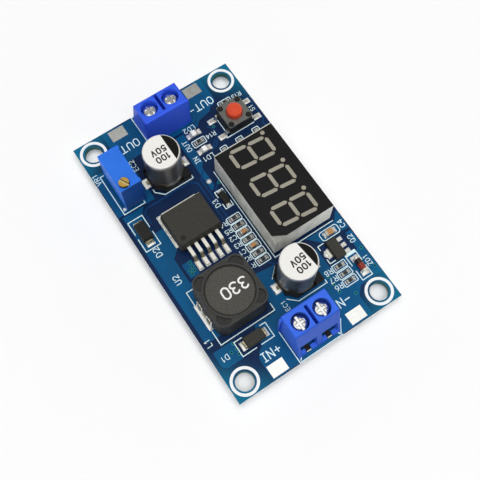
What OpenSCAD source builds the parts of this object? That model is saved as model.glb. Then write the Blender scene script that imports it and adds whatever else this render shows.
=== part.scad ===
// Step-up voltage converter module: a two-layer circuit board with screw terminals at both ends,
// a multi-turn trimmer, a shielded inductor, a five-lead regulator and a three-digit display.
// Millimetres. The origin is at the centre of the four mounting holes on the board's underside.
// The input end is at -X, the output end at +X, and the display runs along the -Y edge.

/* [Board] */
// Length of the board along X
board_l = 66; // [64:0.5:90]
// Width of the board along Y
board_w = 40; // [38:0.5:60]
// Thickness of the board
board_t = 1.6; // [0.8:0.1:2.4]
// Diameter of the mounting holes
hole_d = 4; // [2.5:0.1:4.4]
// Distance from a mounting hole's centre to the end of the board
hole_inset_x = 3.25; // [2.8:0.05:6]
// Distance from a mounting hole's centre to the long edge of the board
hole_inset_y = 3.35; // [2.8:0.05:6]
// Length that the soldered pins stand out below the board
pin_out = 1.8; // [1:0.1:3]
// Thickness of the tinned pads
pad_t = 0.05; // [0.03:0.01:0.1]
// Size of the bare wire pads beside the terminals, along X and Y
wire_pad = [2.7, 3.75]; // [1:0.05:5]
// Distance from the centre of a wire pad to the end of the board
wire_pad_inset = 1.85; // [1.5:0.05:4]
// Distance from the board's centre line to the centre of a wire pad
wire_pad_y = 9.7; // [8.5:0.1:12]
// Room between a through pin's corners and its plated hole
pin_room = 0.1; // [0.05:0.01:0.3]

/* [Terminal blocks] */
// Distance between the two poles of a block
term_pitch = 5.08; // [4.5:0.01:7.62]
// Depth of a block's base, from its back to its front edge
term_d = 7.5; // [7.2:0.1:9.5]
// Depth of the flat top
term_top = 5.2; // [4.9:0.1:6.5]
// Height of a block above the board
term_h = 10; // [9.2:0.1:13]
// Distance from a block's front edge to the end of the board
term_edge = 0.9; // [0:0.1:2]
// Distance from a block's back to the screw axis
screw_u = 2.85; // [2.7:0.05:3.2]
// Diameter of the screw wells
well_d = 3.7; // [3.5:0.1:3.9]
// Diameter of a screw's head
screw_head_d = 3.15; // [2.8:0.05:3.3]
// Height of a screw's head
screw_head_h = 0.95; // [0.7:0.05:1.2]
// Diameter of a screw's thread
screw_d = 2.5; // [2:0.1:2.6]
// Travel of a screw and its wire guard
screw_travel = 2.3; // [1:0.1:2.7]
// Width of a contact loop
contact_w = 3.8; // [3.6:0.05:4]
// Wall of a contact loop
contact_wall = 0.5; // [0.3:0.05:0.5]
// Thickness of the threaded top of a contact loop
contact_top = 1.2; // [0.9:0.1:1.3]
// Height of the sill under a wire entry
sill_h = 0.9; // [0.5:0.1:1.2]
// Height of the upper edge of a wire entry
entry_top = 4.9; // [4.5:0.1:6]
// Depth of the sill, back from the front edge
sill_d = 1.1; // [0.8:0.1:1.5]
// Width of the notch in the sill
sill_notch = 1.3; // [0.9:0.1:2]
// Running room of the screws and guards
guard_gap = 0.05; // [0.03:0.01:0.08]

/* [Trimmer] */
// Size of the trimmer's housing
trim = [9.53, 4.8, 10]; // [4:0.01:14]
// Wall of the trimmer's housing
trim_wall = 0.6; // [0.5:0.05:0.8]
// Distance of the adjusting screw from the housing's end and from its long side
trim_screw_inset = [1.35, 1.55]; // [1.2:0.05:1.8]
// Diameter of the adjusting screw's head
trim_screw_d = 2.2; // [1.8:0.1:2.3]
// Height of the adjusting screw's head above the housing
trim_screw_out = 0.8; // [0.4:0.1:1.5]
// Number of teeth on the worm wheel
rotor_teeth = 30; // [20:1:36]
// Distance between the trimmer's pins
trim_pitch = 2.54; // [2:0.01:3]

/* [Capacitors] */
// Diameter of a capacitor's can
can_d = 8; // [6.3:0.1:10]
// Height of a capacitor above the board
can_top = 10.5; // [6:0.1:12]
// Room between a capacitor's can and the outer face of its square base
can_rim = 0.15; // [0.1:0.05:0.4]

/* [Regulator] */
// Size of the regulator's moulded body
reg = [8.6, 10, 3.1]; // [2:0.1:12]
// Length of the tab that stands out behind the body
reg_tab_out = 1.15; // [0.6:0.05:2]
// Thickness of the tab
reg_tab_t = 1.3; // [0.8:0.05:1.5]
// Distance between the regulator's leads
reg_pitch = 1.7; // [1.27:0.01:1.8]
// Reach of the leads from the body to the tips of their feet
reg_lead_l = 4.9; // [4.2:0.1:6]

/* [Inductor] */
// Side of the square ferrite shield
ind_w = 12; // [11:0.1:12.6]
// Height of the inductor above the board
ind_top = 8; // [5:0.1:10]
// Diameter of the shield's bore
ind_bore = 10.4; // [9:0.1:10.8]
// Gap between the drum and the shield
ind_gap = 0.2; // [0.1:0.05:0.4]

/* [Display] */
// Size of the display's shell
disp = [22.6, 14.2, 7.1]; // [6:0.1:30]
// Height of the display's underside above the board
disp_lift = 1.15; // [1.1:0.05:3]
// Wall of the display's shell
disp_wall = 0.9; // [0.6:0.1:1.5]
// Height and width of a digit
digit = [9.2, 4.95]; // [4:0.05:12]
// Distance between neighbouring digits
digit_pitch = 7.5; // [6.8:0.1:7.8]
// Width of a lit segment
segment_w = 0.8; // [0.5:0.05:1.1]
// Sideways lean of a digit, as a share of its height
digit_lean = 0.095; // [0:0.005:0.18]
// Distance between the two rows of display pins
disp_row = 10.16; // [8:0.01:11]

/* [Push button] */
// Side of the push button's square base
tact_w = 6; // [5.6:0.1:6.4]
// Height of the push button's metal cover
tact_h = 3.45; // [3:0.05:4]
// Height of the push button's plunger above the board
tact_top = 5; // [4.3:0.1:9]
// Diameter of the plunger
plunger_d = 3.5; // [2.8:0.1:4.2]
// Travel of the plunger
plunger_travel = 0.25; // [0.1:0.05:0.35]

/* [Small parts] */
// Length, width and height of a small chip part
chip = [1.6, 0.8, 0.45]; // [0.2:0.05:2]
// Length, width and height of a large chip part
big_chip = [2, 1.25, 0.9]; // [0.2:0.05:3]
// Size of a rectifier diode's body
rectifier = [4.3, 2.6, 2.1]; // [1:0.1:6]
// Distance between neighbouring chips in the row beside the display
chip_pitch = 1.82; // [1.4:0.01:1.9]

/* [Layout] */
// Place of the inductor
inductor_at = [-14.4, 9.9]; // [-20:0.1:20]
// Place of the regulator's body
regulator_at = [3.7, 7.75]; // [-20:0.1:20]
// Place of the input capacitor
input_can_at = [-17.6, -4.1]; // [-20:0.1:20]
// Place of the output capacitor
output_can_at = [17.3, 5.85]; // [-20:0.1:20]
// Place of the display
display_at = [0, -10.2]; // [-20:0.1:20]
// Place of the push button
button_at = [19.9, -13.8]; // [-24:0.1:24]
// Place of the trimmer
trimmer_at = [19, 14.85]; // [-24:0.1:24]
// Place of the input rectifier diode
input_diode_at = [-23.8, 10.35]; // [-26:0.1:26]
// Place of the output rectifier diode
output_diode_at = [7.75, 17.05]; // [-26:0.1:26]
// Place of the signal diode
signal_diode_at = [5.2, -1.4]; // [-26:0.1:26]
// Place of the meter's small supply regulator
transistor_at = [-17.5, -14.4]; // [-26:0.1:26]
// Place of the glass diode
glass_diode_at = [-23.05, -16.65]; // [-26:0.1:26]
// Place of the first chip in the row beside the display
chip_row_at = [-10.8, -0.65]; // [-26:0.1:26]
// Place of the first of the three resistors near the input end
chip_trio_at = [-24.6, -13.05]; // [-26:0.1:26]
// Place of the large chip capacitor beside the display
big_chip_at = [-13.7, -15.65]; // [-26:0.1:26]
// Place of the input indicator lamp
input_led_at = [17.2, -4.2]; // [-26:0.1:26]
// Place of the output indicator lamp
output_led_at = [21.7, -4.2]; // [-26:0.1:26]

/* [Hidden] */
$fn = 48;
// Overlap of cuts and joined shapes, and room left between pieces that are fixed together
eps = 0.01;
slip = 0.02;

hole_span = [board_l - 2 * hole_inset_x, board_w - 2 * hole_inset_y];
seat = board_t + pad_t;

// Terminal block, in a frame with u from its back to its front, v along the poles, z from the board
term_w = 2 * term_pitch;
chamber_gap = 0.05;
chamber_back = 0.8;
contact_u = 1.2;
contact_d = 4;
contact_z = 0.6;
contact_floor = 0.7;
contact_r = 0.5;
lip_t = 0.25;
lip_low = 0.1;
lip_tip = 0.55;
lip_set = 0.2;
lip_w = sill_notch - 0.3;
sill_drop = 0.3;
guard_t = 0.3;
guard_rest = 0.23;
screw_tip_out = 0.25;
contact_h = contact_floor + guard_rest + screw_travel + guard_t + slip + screw_tip_out + contact_top;
chamber_w = contact_w + 2 * chamber_gap;
chamber_front = contact_u + contact_d + chamber_gap;
contact_roof = contact_z + contact_h;
chamber_h = contact_roof + chamber_gap;
wire_gap = contact_h - contact_floor - contact_top;
thread_gap = 0.05;
screw_tip = contact_roof - contact_top - screw_tip_out;
screw_head_gap = 0.1;
screw_seat = contact_roof + screw_travel + screw_head_gap;
guard_w = contact_w - 2 * contact_wall - 4 * guard_gap;
guard_z = screw_tip - slip - guard_t;
guard_u = contact_u - guard_gap - guard_t;
guard_lip = 0.2;
guard_l = contact_u + contact_d + guard_lip - guard_u;
guard_tail = 1.5;
term_pin = [0.9, 0.7];
term_pin_u = 3.2;
rib_u = 0.45;
rib_out = 0.45;
rib_foot = 0.4;
rib_crown = 0.66;
rib_gap = 0.05;
rib_stop = 0.8;
divider = [4.2, 0.7, 3.2];
term_back_x = board_l / 2 - term_edge - term_d;

// Trimmer, in a frame centred on its housing
trim_foot = 0.4;
trim_screw_at = [trim_screw_inset.x - trim.x / 2, trim.y / 2 - trim_screw_inset.y];
worm_d = 1.3;
mesh_gap = 0.1;
rotor_tip = trim.x / 2 - trim_screw_inset.x - worm_d / 2 - mesh_gap;
rotor_z = 5;
rotor_w = 1.3;
rotor_axle_d = 1.2;
rotor_hub_d = 2.4;
tooth_h = 0.3;
tooth_root = 0.3;
tooth_crest = 0.14;
axle_gap = 0.05;
element_t = 0.9;
element_z = 1.3;
trim_pin_d = 0.5;

// Display, in a frame centred on its shell
digit_shift = 0.05;
segment_gap = 0.22;
dot_d = 0.95;
dot_at = [digit[1] / 2 + 0.2, -digit[0] / 2 + 0.3];
face_t = 0.15;
light_gap = 0.02;
face_cut = [1.5, 2.7];
disp_top = disp_lift + disp.z;
disp_pins = 6;
disp_pin_pitch = 2.54;
disp_pin_w = 0.5;
disp_board_t = 0.8;
disp_board_z = disp_lift + 0.2;
disp_pin_top = 0.5;
disp_notch = [2, 0.5, 1.2];

// Push button, in a frame centred on its base
tact_cover_t = 0.35;
tact_floor = 0.9;
tact_stake_d = 1.2;
tact_stake_out = 0.2;
tact_stake_gap = 0.03;
tact_corner = 0.5;
tact_stake_at = tact_w / 2 - 0.75;
tact_leg_x = 2.25;
tact_leg_w = 0.7;
tact_leg_out = 2;
plunger_gap = 0.1;
plunger_flange_d = plunger_d + 0.4;
plunger_flange_h = 0.5;
well_gap = 0.2;
tact_well_d = plunger_flange_d + 2 * well_gap;
dome_d = plunger_flange_d + 0.1;
dome_t = 0.12;
dome_rise = 0.45;

row_kinds = ["r", "r", "c", "r", "c", "r", "r"];
row_spots = [for (i = [0:len(row_kinds) - 1]) [chip_row_at.x + i * chip_pitch, chip_row_at.y]];
trio_spots = [for (i = [0:2]) [chip_trio_at.x + i * (chip_pitch + 0.05), chip_trio_at.y]];
button_resistor_at = [button_at.x + tact_w / 2 + 1.6, button_at.y - 0.5];
lamp_resistor_at = (input_led_at + output_led_at) / 2;
side_spots = [for (y = [2.3, -1.8, -6.1]) [display_at.x + disp.x / 2 + 2.8, display_at.y + y]];
upright_resistors = concat(
    [for (i = [0:len(row_kinds) - 1]) if (row_kinds[i] == "r") row_spots[i]],
    trio_spots, [lamp_resistor_at, button_resistor_at]);
upright_capacitors = [for (i = [0:len(row_kinds) - 1]) if (row_kinds[i] == "c") row_spots[i]];
led_spots = [input_led_at, output_led_at];

// Block standing on the XY plane, centred on Z
module block(size) {
    translate([-size.x / 2, -size.y / 2, 0]) cube(size);
}

// Rectangle with round corners, centred
module soft_square(size, r) {
    square([size.x - 2 * r, size.y], center = true);
    square([size.x, size.y - 2 * r], center = true);
    for (sx = [-1, 1], sy = [-1, 1])
        translate([sx * (size.x / 2 - r), sy * (size.y / 2 - r)]) circle(r);
}

// Block with round upright edges, standing on the XY plane
module soft_block(size, r) {
    linear_extrude(size.z) soft_square([size.x, size.y], r);
}

// Side profile in X and Z, drawn out along Y to a width, centred
module drawn(width) {
    rotate([90, 0, 0]) linear_extrude(width, center = true) children();
}

// Moulded block whose four sides lean in above and below a parting line
module moulded(size, lean, parting) {
    function outline(w) = [
        [-w / 2 + lean, 0], [-w / 2, parting], [-w / 2 + lean, size.z],
        [w / 2 - lean, size.z], [w / 2, parting], [w / 2 - lean, 0]
    ];
    intersection() {
        drawn(size.y + 1) polygon(outline(size.x));
        rotate(90) drawn(size.x + 1) polygon(outline(size.y));
    }
}

// Children placed on the board's top, or on its pads, with a turn about Z
module on_board(at, turn = 0) {
    translate([at.x, at.y, board_t]) rotate(turn) children();
}

module on_pads(at, turn = 0) {
    translate([at.x, at.y, seat]) rotate(turn) children();
}

// Places of every through pin, with its greatest width across corners
function diagonal(size) = sqrt(size.x * size.x + size.y * size.y);
term_pin_spots = [for (sx = [-1, 1], sy = [-1, 1])
    [sx * (term_back_x + term_pin_u), sy * term_pitch / 2, diagonal(term_pin)]];
trim_pin_spots = [for (i = [-1:1])
    [trimmer_at.x + i * trim_pitch, trimmer_at.y, trim_pin_d]];
disp_pin_spots = [for (side = [-1, 1], i = [0:disp_pins - 1])
    [display_at.x + (i - (disp_pins - 1) / 2) * disp_pin_pitch,
     display_at.y + side * disp_row / 2, diagonal([disp_pin_w, disp_pin_w])]];
pin_spots = concat(term_pin_spots, trim_pin_spots, disp_pin_spots);

module circuit_board() {
    color("royalblue") difference() {
        block([board_l, board_w, board_t]);
        for (sx = [-1, 1], sy = [-1, 1])
            translate([sx * hole_span.x / 2, sy * hole_span.y / 2, -eps])
                cylinder(d = hole_d, h = board_t + 2 * eps);
        for (p = pin_spots)
            translate([p.x, p.y, -eps]) cylinder(d = p.z + 2 * pin_room, h = board_t + 2 * eps);
    }
}

// One pad, and a pair of pads along Y about a centre
module flat_pad(size) {
    block([size.x, size.y, pad_t]);
}

module pad_pair(reach, size) {
    for (side = [-1, 1]) translate([0, side * reach, 0]) flat_pad(size);
}

can_pad = [2.3, 3.6];
can_pad_out = 1.4;
clip_w = 5.8;
clip_foot = 3;
clip_pad = [clip_w + 0.4, clip_foot + 0.2];
reg_foot = 2;
reg_foot_pad = [reg_foot + 0.4, 1.05];
reg_tab_pad = [reg.x - 0.4, reg.y + 0.8];
reg_tab_pad_out = 0.3;
reg_tab_pad_x = reg.x / 2 + reg_tab_out + reg_tab_pad_out - reg_tab_pad.x / 2;
rectifier_pad = [1.9, 2];
signal_pad = [1, 1];
signal_pad_reach = 1.65;
glass_pad = [1.7, 1.3];
glass_pad_reach = 1.75;
chip_pad = [0.9, 0.8];
chip_pad_reach = chip.x / 2;
big_chip_pad = [1.3, 1.1];
lamp_pad_reach = 1.2;
tact_pad = [1.3, 2];
transistor_pitch = 1.5;
transistor_pad = [0.9, 1.4];
transistor_pad_y = -1.95;
transistor_tab_pad = [2, 1.6];
transistor_tab_pad_y = 1.5;
test_pad_at = [10.3, -0.85];
test_pad_d = 1.1;

module tinned_pads() {
    color("silver") {
        for (sx = [-1, 1], sy = [-1, 1])
            on_board([sx * (board_l / 2 - wire_pad_inset), sy * wire_pad_y]) flat_pad(wire_pad);
        for (at = [input_can_at, output_can_at])
            on_board(at) pad_pair(can_base / 2 + can_pad_out - can_pad.y / 2, can_pad);
        on_board(inductor_at) pad_pair((ind_w - clip_foot) / 2 + 0.9, clip_pad);
        on_board(regulator_at + [reg_tab_pad_x, 0]) flat_pad(reg_tab_pad);
        for (i = [-2:2])
            on_board(regulator_at + [(reg_foot - reg.x) / 2 - reg_lead_l, i * reg_pitch])
                flat_pad(reg_foot_pad);
        on_board(input_diode_at) pad_pair(rectifier.x / 2, rectifier_pad);
        on_board(output_diode_at, 90) pad_pair(rectifier.x / 2, rectifier_pad);
        on_board(signal_diode_at, 90) pad_pair(signal_pad_reach, signal_pad);
        on_board(glass_diode_at, 90) pad_pair(glass_pad_reach, glass_pad);
        for (at = concat(upright_resistors, upright_capacitors))
            on_board(at) pad_pair(chip_pad_reach, chip_pad);
        for (at = side_spots) on_board(at, 90) pad_pair(chip_pad_reach, chip_pad);
        on_board(big_chip_at) pad_pair(big_chip.x / 2, big_chip_pad);
        for (at = led_spots) on_board(at) pad_pair(lamp_pad_reach, big_chip_pad);
        for (side = [-1, 1])
            on_board(button_at + [side * tact_leg_x, 0])
                pad_pair((tact_w + tact_leg_out + 1) / 2, tact_pad);
        on_board(transistor_at + [0, transistor_tab_pad_y]) flat_pad(transistor_tab_pad);
        for (i = [-1:1])
            on_board(transistor_at + [i * transistor_pitch, transistor_pad_y]) flat_pad(transistor_pad);
        on_board(test_pad_at) cylinder(d = test_pad_d, h = pad_t);
    }
}

// Cone of solder round each pin below the board
module solder_fillets() {
    color("gainsboro") for (p = pin_spots) translate([p.x, p.y, 0]) rotate_extrude()
        translate([p.z / 2, 0]) polygon([
            [slip, 0], [0.75, 0], [0.7, -0.15], [0.3, -0.55], [0.12, -1.1], [slip, -1.2]
        ]);
}

// Terminal blocks face outwards: the input block is the output block turned half round
module at_input() {
    translate([-term_back_x, 0, board_t]) rotate(180) children();
}

module at_output() {
    translate([term_back_x, 0, board_t]) children();
}

// Dovetail outline on the side of a block, grown by a clearance
module dovetail(grow = 0) {
    polygon([
        [rib_u - rib_foot / 2 - grow, -eps], [rib_u + rib_foot / 2 + grow, -eps],
        [rib_u + rib_crown / 2 + grow, rib_out + grow], [rib_u - rib_crown / 2 - grow, rib_out + grow]
    ]);
}

// Chamber, wire entry over a notched sill, and screw well of one pole
module pole_space() {
    sill_back = term_d - sill_d;
    drawn(chamber_w) polygon([
        [chamber_back, -eps], [sill_back, -eps], [sill_back, sill_h], [term_d, sill_h - sill_drop],
        [term_d + 1, sill_h - sill_drop], [term_d + 1, entry_top], [chamber_front, entry_top],
        [chamber_front, chamber_h], [chamber_back, chamber_h]
    ]);
    translate([sill_back - eps, -sill_notch / 2, -eps]) cube([term_d, sill_notch, sill_h + eps]);
    translate([screw_u, 0, chamber_h - eps]) cylinder(d = well_d, h = term_h);
}

module terminal_housing() {
    edge = 0.25;
    slope = (term_d - term_top) / term_h;
    difference() {
        union() {
            drawn(term_w) polygon([
                [0, 0], [term_d, 0], [term_top + edge * slope, term_h - edge], [term_top - edge, term_h],
                [edge, term_h], [0, term_h - edge]
            ]);
            translate([0, -term_w / 2, 0]) mirror([0, 1, 0]) linear_extrude(term_h - rib_stop) dovetail();
        }
        for (side = [-1, 1]) translate([0, side * term_pitch / 2, 0]) pole_space();
        translate([0, term_w / 2, -eps]) mirror([0, 1, 0])
            linear_extrude(term_h - rib_stop + 4 * rib_gap) dovetail(rib_gap);
        translate([screw_u, 0, term_h - divider.z]) block([divider.x, divider.y, divider.z + 1]);
    }
}

// Bent loop with a threaded roof, a lip that dips into the sill's notch, and its pin through the board
module terminal_contact() {
    inside = [contact_w - 2 * contact_wall, wire_gap];
    front = contact_u + contact_d;
    tip = term_d - lip_set;
    bend = term_d - sill_d;
    difference() {
        translate([contact_u, 0, contact_z + contact_h / 2]) rotate([90, 0, 90])
            linear_extrude(contact_d) difference() {
                soft_square([contact_w, contact_h], contact_r);
                translate([0, contact_floor / 2 - contact_top / 2]) square(inside, center = true);
            }
        translate([screw_u, 0, contact_roof - contact_top - eps])
            cylinder(d = screw_d + 2 * thread_gap, h = contact_top + 1);
    }
    drawn(lip_w) polygon([
        [front - eps, contact_z], [front - eps, contact_z + lip_t], [front + lip_t, contact_z + lip_t],
        [bend, lip_low + lip_t], [tip - lip_t, lip_low + lip_t], [tip - lip_t, lip_tip],
        [tip, lip_tip], [tip, lip_low], [bend - lip_t, lip_low]
    ]);
    translate([term_pin_u, 0, -board_t - pin_out])
        block([term_pin.x, term_pin.y, board_t + pin_out + contact_z + 0.2]);
}

module terminal_contacts() {
    for (side = [-1, 1]) translate([0, side * term_pitch / 2, 0]) terminal_contact();
}

// Low domed head with a crossed recess over a plain shank
module terminal_screw() {
    slot_w = 0.6;
    slot_h = 0.45;
    difference() {
        translate([screw_u, 0, 0]) rotate_extrude() polygon([
            [0, screw_tip], [screw_d / 2 - 0.2, screw_tip], [screw_d / 2, screw_tip + 0.2],
            [screw_d / 2, screw_seat], [screw_head_d / 2, screw_seat],
            [screw_head_d / 2, screw_seat + screw_head_h - 0.3],
            [screw_head_d / 2 - 0.3, screw_seat + screw_head_h - 0.08], [0, screw_seat + screw_head_h]
        ]);
        translate([screw_u, 0, screw_seat + screw_head_h - slot_h]) {
            block([screw_head_d + 1, slot_w, 1]);
            block([slot_w, screw_head_d * 0.62, 1]);
        }
    }
}

// Thin strip between the screw's tip and the wire, with a tail behind the contact
module wire_guard() {
    translate([guard_u, -guard_w / 2, guard_z]) cube([guard_l, guard_w, guard_t]);
    translate([guard_u, -guard_w / 2, guard_z]) cube([guard_t, guard_w, guard_tail]);
}

module input_terminal_housing() {
    color("mediumblue") at_input() terminal_housing();
}

module input_terminal_contacts() {
    color("silver") at_input() terminal_contacts();
}

module input_plus_screw() {
    color("lightgray") at_input() translate([0, -term_pitch / 2, 0]) terminal_screw();
}

module input_minus_screw() {
    color("lightgray") at_input() translate([0, term_pitch / 2, 0]) terminal_screw();
}

module input_plus_guard() {
    color("goldenrod") at_input() translate([0, -term_pitch / 2, 0]) wire_guard();
}

module input_minus_guard() {
    color("goldenrod") at_input() translate([0, term_pitch / 2, 0]) wire_guard();
}

module output_terminal_housing() {
    color("mediumblue") at_output() terminal_housing();
}

module output_terminal_contacts() {
    color("silver") at_output() terminal_contacts();
}

module output_plus_screw() {
    color("lightgray") at_output() translate([0, term_pitch / 2, 0]) terminal_screw();
}

module output_minus_screw() {
    color("lightgray") at_output() translate([0, -term_pitch / 2, 0]) terminal_screw();
}

module output_plus_guard() {
    color("goldenrod") at_output() translate([0, term_pitch / 2, 0]) wire_guard();
}

module output_minus_guard() {
    color("goldenrod") at_output() translate([0, -term_pitch / 2, 0]) wire_guard();
}

// Housing open below, with feet at its corners and one long side set back between corner ribs
trim_roof = 1.6;
trim_rib = 0.9;
trim_set = 0.2;
element_y = -trim.y / 2 + trim_wall + slip;

module trimmer_housing() {
    inside = [trim.x - 2 * trim_wall, trim.y - 2 * trim_wall, trim.z - trim_roof];
    color("dodgerblue") on_board(trimmer_at) difference() {
        block(trim);
        translate([0, 0, -eps]) block([inside.x, inside.y, inside.z + eps]);
        translate([0, -trim.y / 2, -eps]) {
            block([trim.x - 2 * trim_rib, 2 * trim_set, trim.z + 1]);
            block([trim.x - 2 * trim_rib, 4 * trim_wall, trim_foot + eps]);
        }
        for (side = [-1, 1])
            translate([side * trim.x / 2, 0, -eps])
                block([4 * trim_wall, trim.y - 2 * trim_rib, trim_foot + eps]);
        translate([trim_screw_at.x, trim_screw_at.y, trim.z - trim_roof - eps])
            cylinder(d = trim_screw_d + 2 * axle_gap, h = 4);
    }
}

// Slotted head and collar over the worm's core
module trimmer_screw() {
    slot_w = 0.5;
    slot_h = 0.55;
    slot_turn = 27;
    foot = 1.5;
    edge = 0.12;
    r = trim_screw_d / 2;
    top = trim.z + trim_screw_out;
    cone_low = trim.z - trim_roof + 0.1;
    cone_high = cone_low + 0.3;
    color("goldenrod") on_board(trimmer_at + trim_screw_at) difference() {
        rotate_extrude() polygon([
            [0, foot], [worm_d / 2, foot], [worm_d / 2, cone_low], [r, cone_high], [r, top - edge],
            [r - edge, top], [0, top]
        ]);
        translate([0, 0, top - slot_h]) rotate(slot_turn) block([trim_screw_d + 1, slot_w, 1]);
    }
}

// Toothed wheel that carries the wiper, on an axle along Y
module trimmer_rotor() {
    root = rotor_tip - tooth_h;
    step = 360 / rotor_teeth;
    hub_stop = element_y + element_t + mesh_gap + axle_gap;
    tooth = [[root, -tooth_root], [rotor_tip, -tooth_crest], [rotor_tip, tooth_crest], [root, tooth_root]];
    color("whitesmoke") on_board(trimmer_at) translate([0, 0, rotor_z]) rotate([90, 0, 0]) {
        translate([0, 0, -trim_screw_at.y - rotor_w / 2]) linear_extrude(rotor_w) polygon([
            for (i = [0:rotor_teeth - 1], corner = tooth)
                corner[0] * [cos((i + corner[1]) * step), sin((i + corner[1]) * step)]
        ]);
        translate([0, 0, -trim_screw_at.y]) cylinder(d = rotor_hub_d, h = trim_screw_at.y - hub_stop);
        translate([0, 0, -trim_screw_at.y]) cylinder(d = rotor_axle_d, h = trim_screw_at.y - element_y);
    }
}

// Ceramic plate with the resistive track, on the housing's inner wall
module trimmer_element() {
    color("ivory") on_board(trimmer_at) difference() {
        translate([0, element_y + element_t / 2, element_z])
            block([trim.x - 2 * (trim_wall + slip), element_t, trim.z - trim_roof - element_z - slip]);
        translate([0, element_y - 1, rotor_z]) rotate([-90, 0, 0])
            cylinder(d = rotor_axle_d + 2 * axle_gap, h = element_t + 2);
    }
}

// Round pins, bent back to the ceramic plate above the board
module trimmer_pins() {
    bend_z = element_z - slip;
    color("silver") on_board(trimmer_at) for (i = [-1:1]) translate([i * trim_pitch, 0, 0]) {
        translate([0, 0, -board_t - pin_out]) cylinder(d = trim_pin_d, h = board_t + pin_out + bend_z);
        translate([-trim_pin_d / 2, element_y, bend_z - trim_pin_d])
            cube([trim_pin_d, -element_y, trim_pin_d]);
    }
}

// Aluminium can with a rolled groove above its base and a rounded rim
can_lead_t = 0.25;
can_seat = can_lead_t + 0.7;
can_edge = 0.5;
can_groove_z = 2.3;
can_groove_h = 1.1;
can_groove_in = 0.4;
can_base = can_d + 2 * can_rim;
can_gap = 0.03;
can_lead_w = 0.8;
can_lead_in = 0.85;
can_lead_out = 0.65;

module capacitor_can() {
    r = can_d / 2;
    h = can_top - pad_t;
    neck = r - can_groove_in;
    curl = 0.2;
    rotate_extrude() {
        polygon([
            [0, can_seat], [r - curl, can_seat], [r, can_seat + curl],
            [r, can_groove_z - can_groove_h / 2], [neck, can_groove_z - curl],
            [neck, can_groove_z + curl], [r, can_groove_z + can_groove_h / 2],
            [r, h - can_edge], [r - can_edge, h - can_edge], [r - can_edge, h], [0, h]
        ]);
        intersection() {
            translate([r - can_edge, h - can_edge]) circle(can_edge);
            translate([r - can_edge, h - can_edge]) square(can_edge);
        }
    }
}

// Moulded base with two cut corners and a post at each corner
module capacitor_base() {
    cut = 1.9;
    post_h = 2.1;
    post_gap = 0.53 * can_base;
    w = can_base / 2;
    difference() {
        translate([0, 0, can_lead_t]) linear_extrude(post_h - can_lead_t) polygon([
            [-w, -w], [w, -w], [w, w - cut], [w - cut, w], [cut - w, w], [-w, w - cut]
        ]);
        translate([0, 0, can_seat]) cylinder(d = can_d + 2 * can_gap, h = post_h);
        translate([0, 0, can_seat]) block([can_base + 1, post_gap, post_h]);
        translate([0, 0, can_seat]) block([post_gap, can_base + 1, post_h]);
    }
}

module capacitor_leads() {
    length = can_base / 2 - can_lead_in + can_lead_out;
    for (side = [-1, 1]) translate([0, side * (can_lead_in + length / 2), 0])
        block([can_lead_w, length, can_lead_t]);
}

module input_capacitor_can() {
    color("lightgray") on_pads(input_can_at) capacitor_can();
}

module input_capacitor_base() {
    color("dimgray") on_pads(input_can_at) capacitor_base();
}

module input_capacitor_leads() {
    color("silver") on_pads(input_can_at) capacitor_leads();
}

module output_capacitor_can() {
    color("lightgray") on_pads(output_can_at) capacitor_can();
}

module output_capacitor_base() {
    color("dimgray") on_pads(output_can_at) capacitor_base();
}

module output_capacitor_leads() {
    color("silver") on_pads(output_can_at) capacitor_leads();
}

// Moulded body over the tab, with a nose that reaches down in front of it
reg_nose = 1;
reg_lead_z = 2;
reg_lead_t = 0.5;
reg_lead_w = 0.8;
reg_lift = 0.15;
reg_lean = 0.28;
reg_top = reg_tab_t + reg.z;
reg_dimple_at = [1.6 - reg.x / 2, reg.y / 2 - 1.45];
reg_dimple_d = 1.1;
reg_dimple_h = 0.12;

module regulator_body() {
    color("dimgray") on_pads(regulator_at) difference() {
        translate([0, 0, reg_lift])
            moulded([reg.x, reg.y, reg_top - reg_lift], reg_lean, reg_lead_z - reg_lift);
        translate([-reg.x / 2 + reg_nose, -reg.y, -1]) cube([reg.x, 2 * reg.y, 1 + reg_tab_t]);
        translate([reg_dimple_at.x, reg_dimple_at.y, reg_top - reg_dimple_h])
            cylinder(d = reg_dimple_d, h = 1);
    }
}

// Thick copper tab under the body, with two cut corners behind
module regulator_tab() {
    front = -reg.x / 2 + reg_nose + slip;
    back = reg.x / 2 + reg_tab_out;
    w = reg.y / 2 - slip;
    cut = 0.85;
    color("silver") on_pads(regulator_at) linear_extrude(reg_tab_t - slip) polygon([
        [front, -w], [back - cut, -w], [back, cut - w], [back, w - cut], [back - cut, w], [front, w]
    ]);
}

// Flat leads that leave the body, step down and end in a foot
module regulator_leads() {
    face = -reg.x / 2;
    tip = face - reg_lead_l;
    bend = face - 2.2;
    top = reg_lead_z + reg_lead_t;
    color("silver") on_pads(regulator_at) for (i = [-2:2]) translate([0, i * reg_pitch, 0])
        drawn(reg_lead_w) polygon([
            [face - eps, reg_lead_z], [face - eps, top], [bend - 0.1, top], [bend - 0.4, top - 0.2],
            [tip + reg_foot - 0.2, reg_lead_t], [tip, reg_lead_t], [tip, 0],
            [tip + reg_foot, 0], [bend, reg_lead_z]
        ]);
}

// Square ferrite ring with a round bore, a rim round it and a pocket in each corner
ind_base = 0.4;
drum_d = ind_bore - 2 * ind_gap;
drum_flange = 1.2;
drum_core_d = 5;
drum_drop = 0.25;

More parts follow.
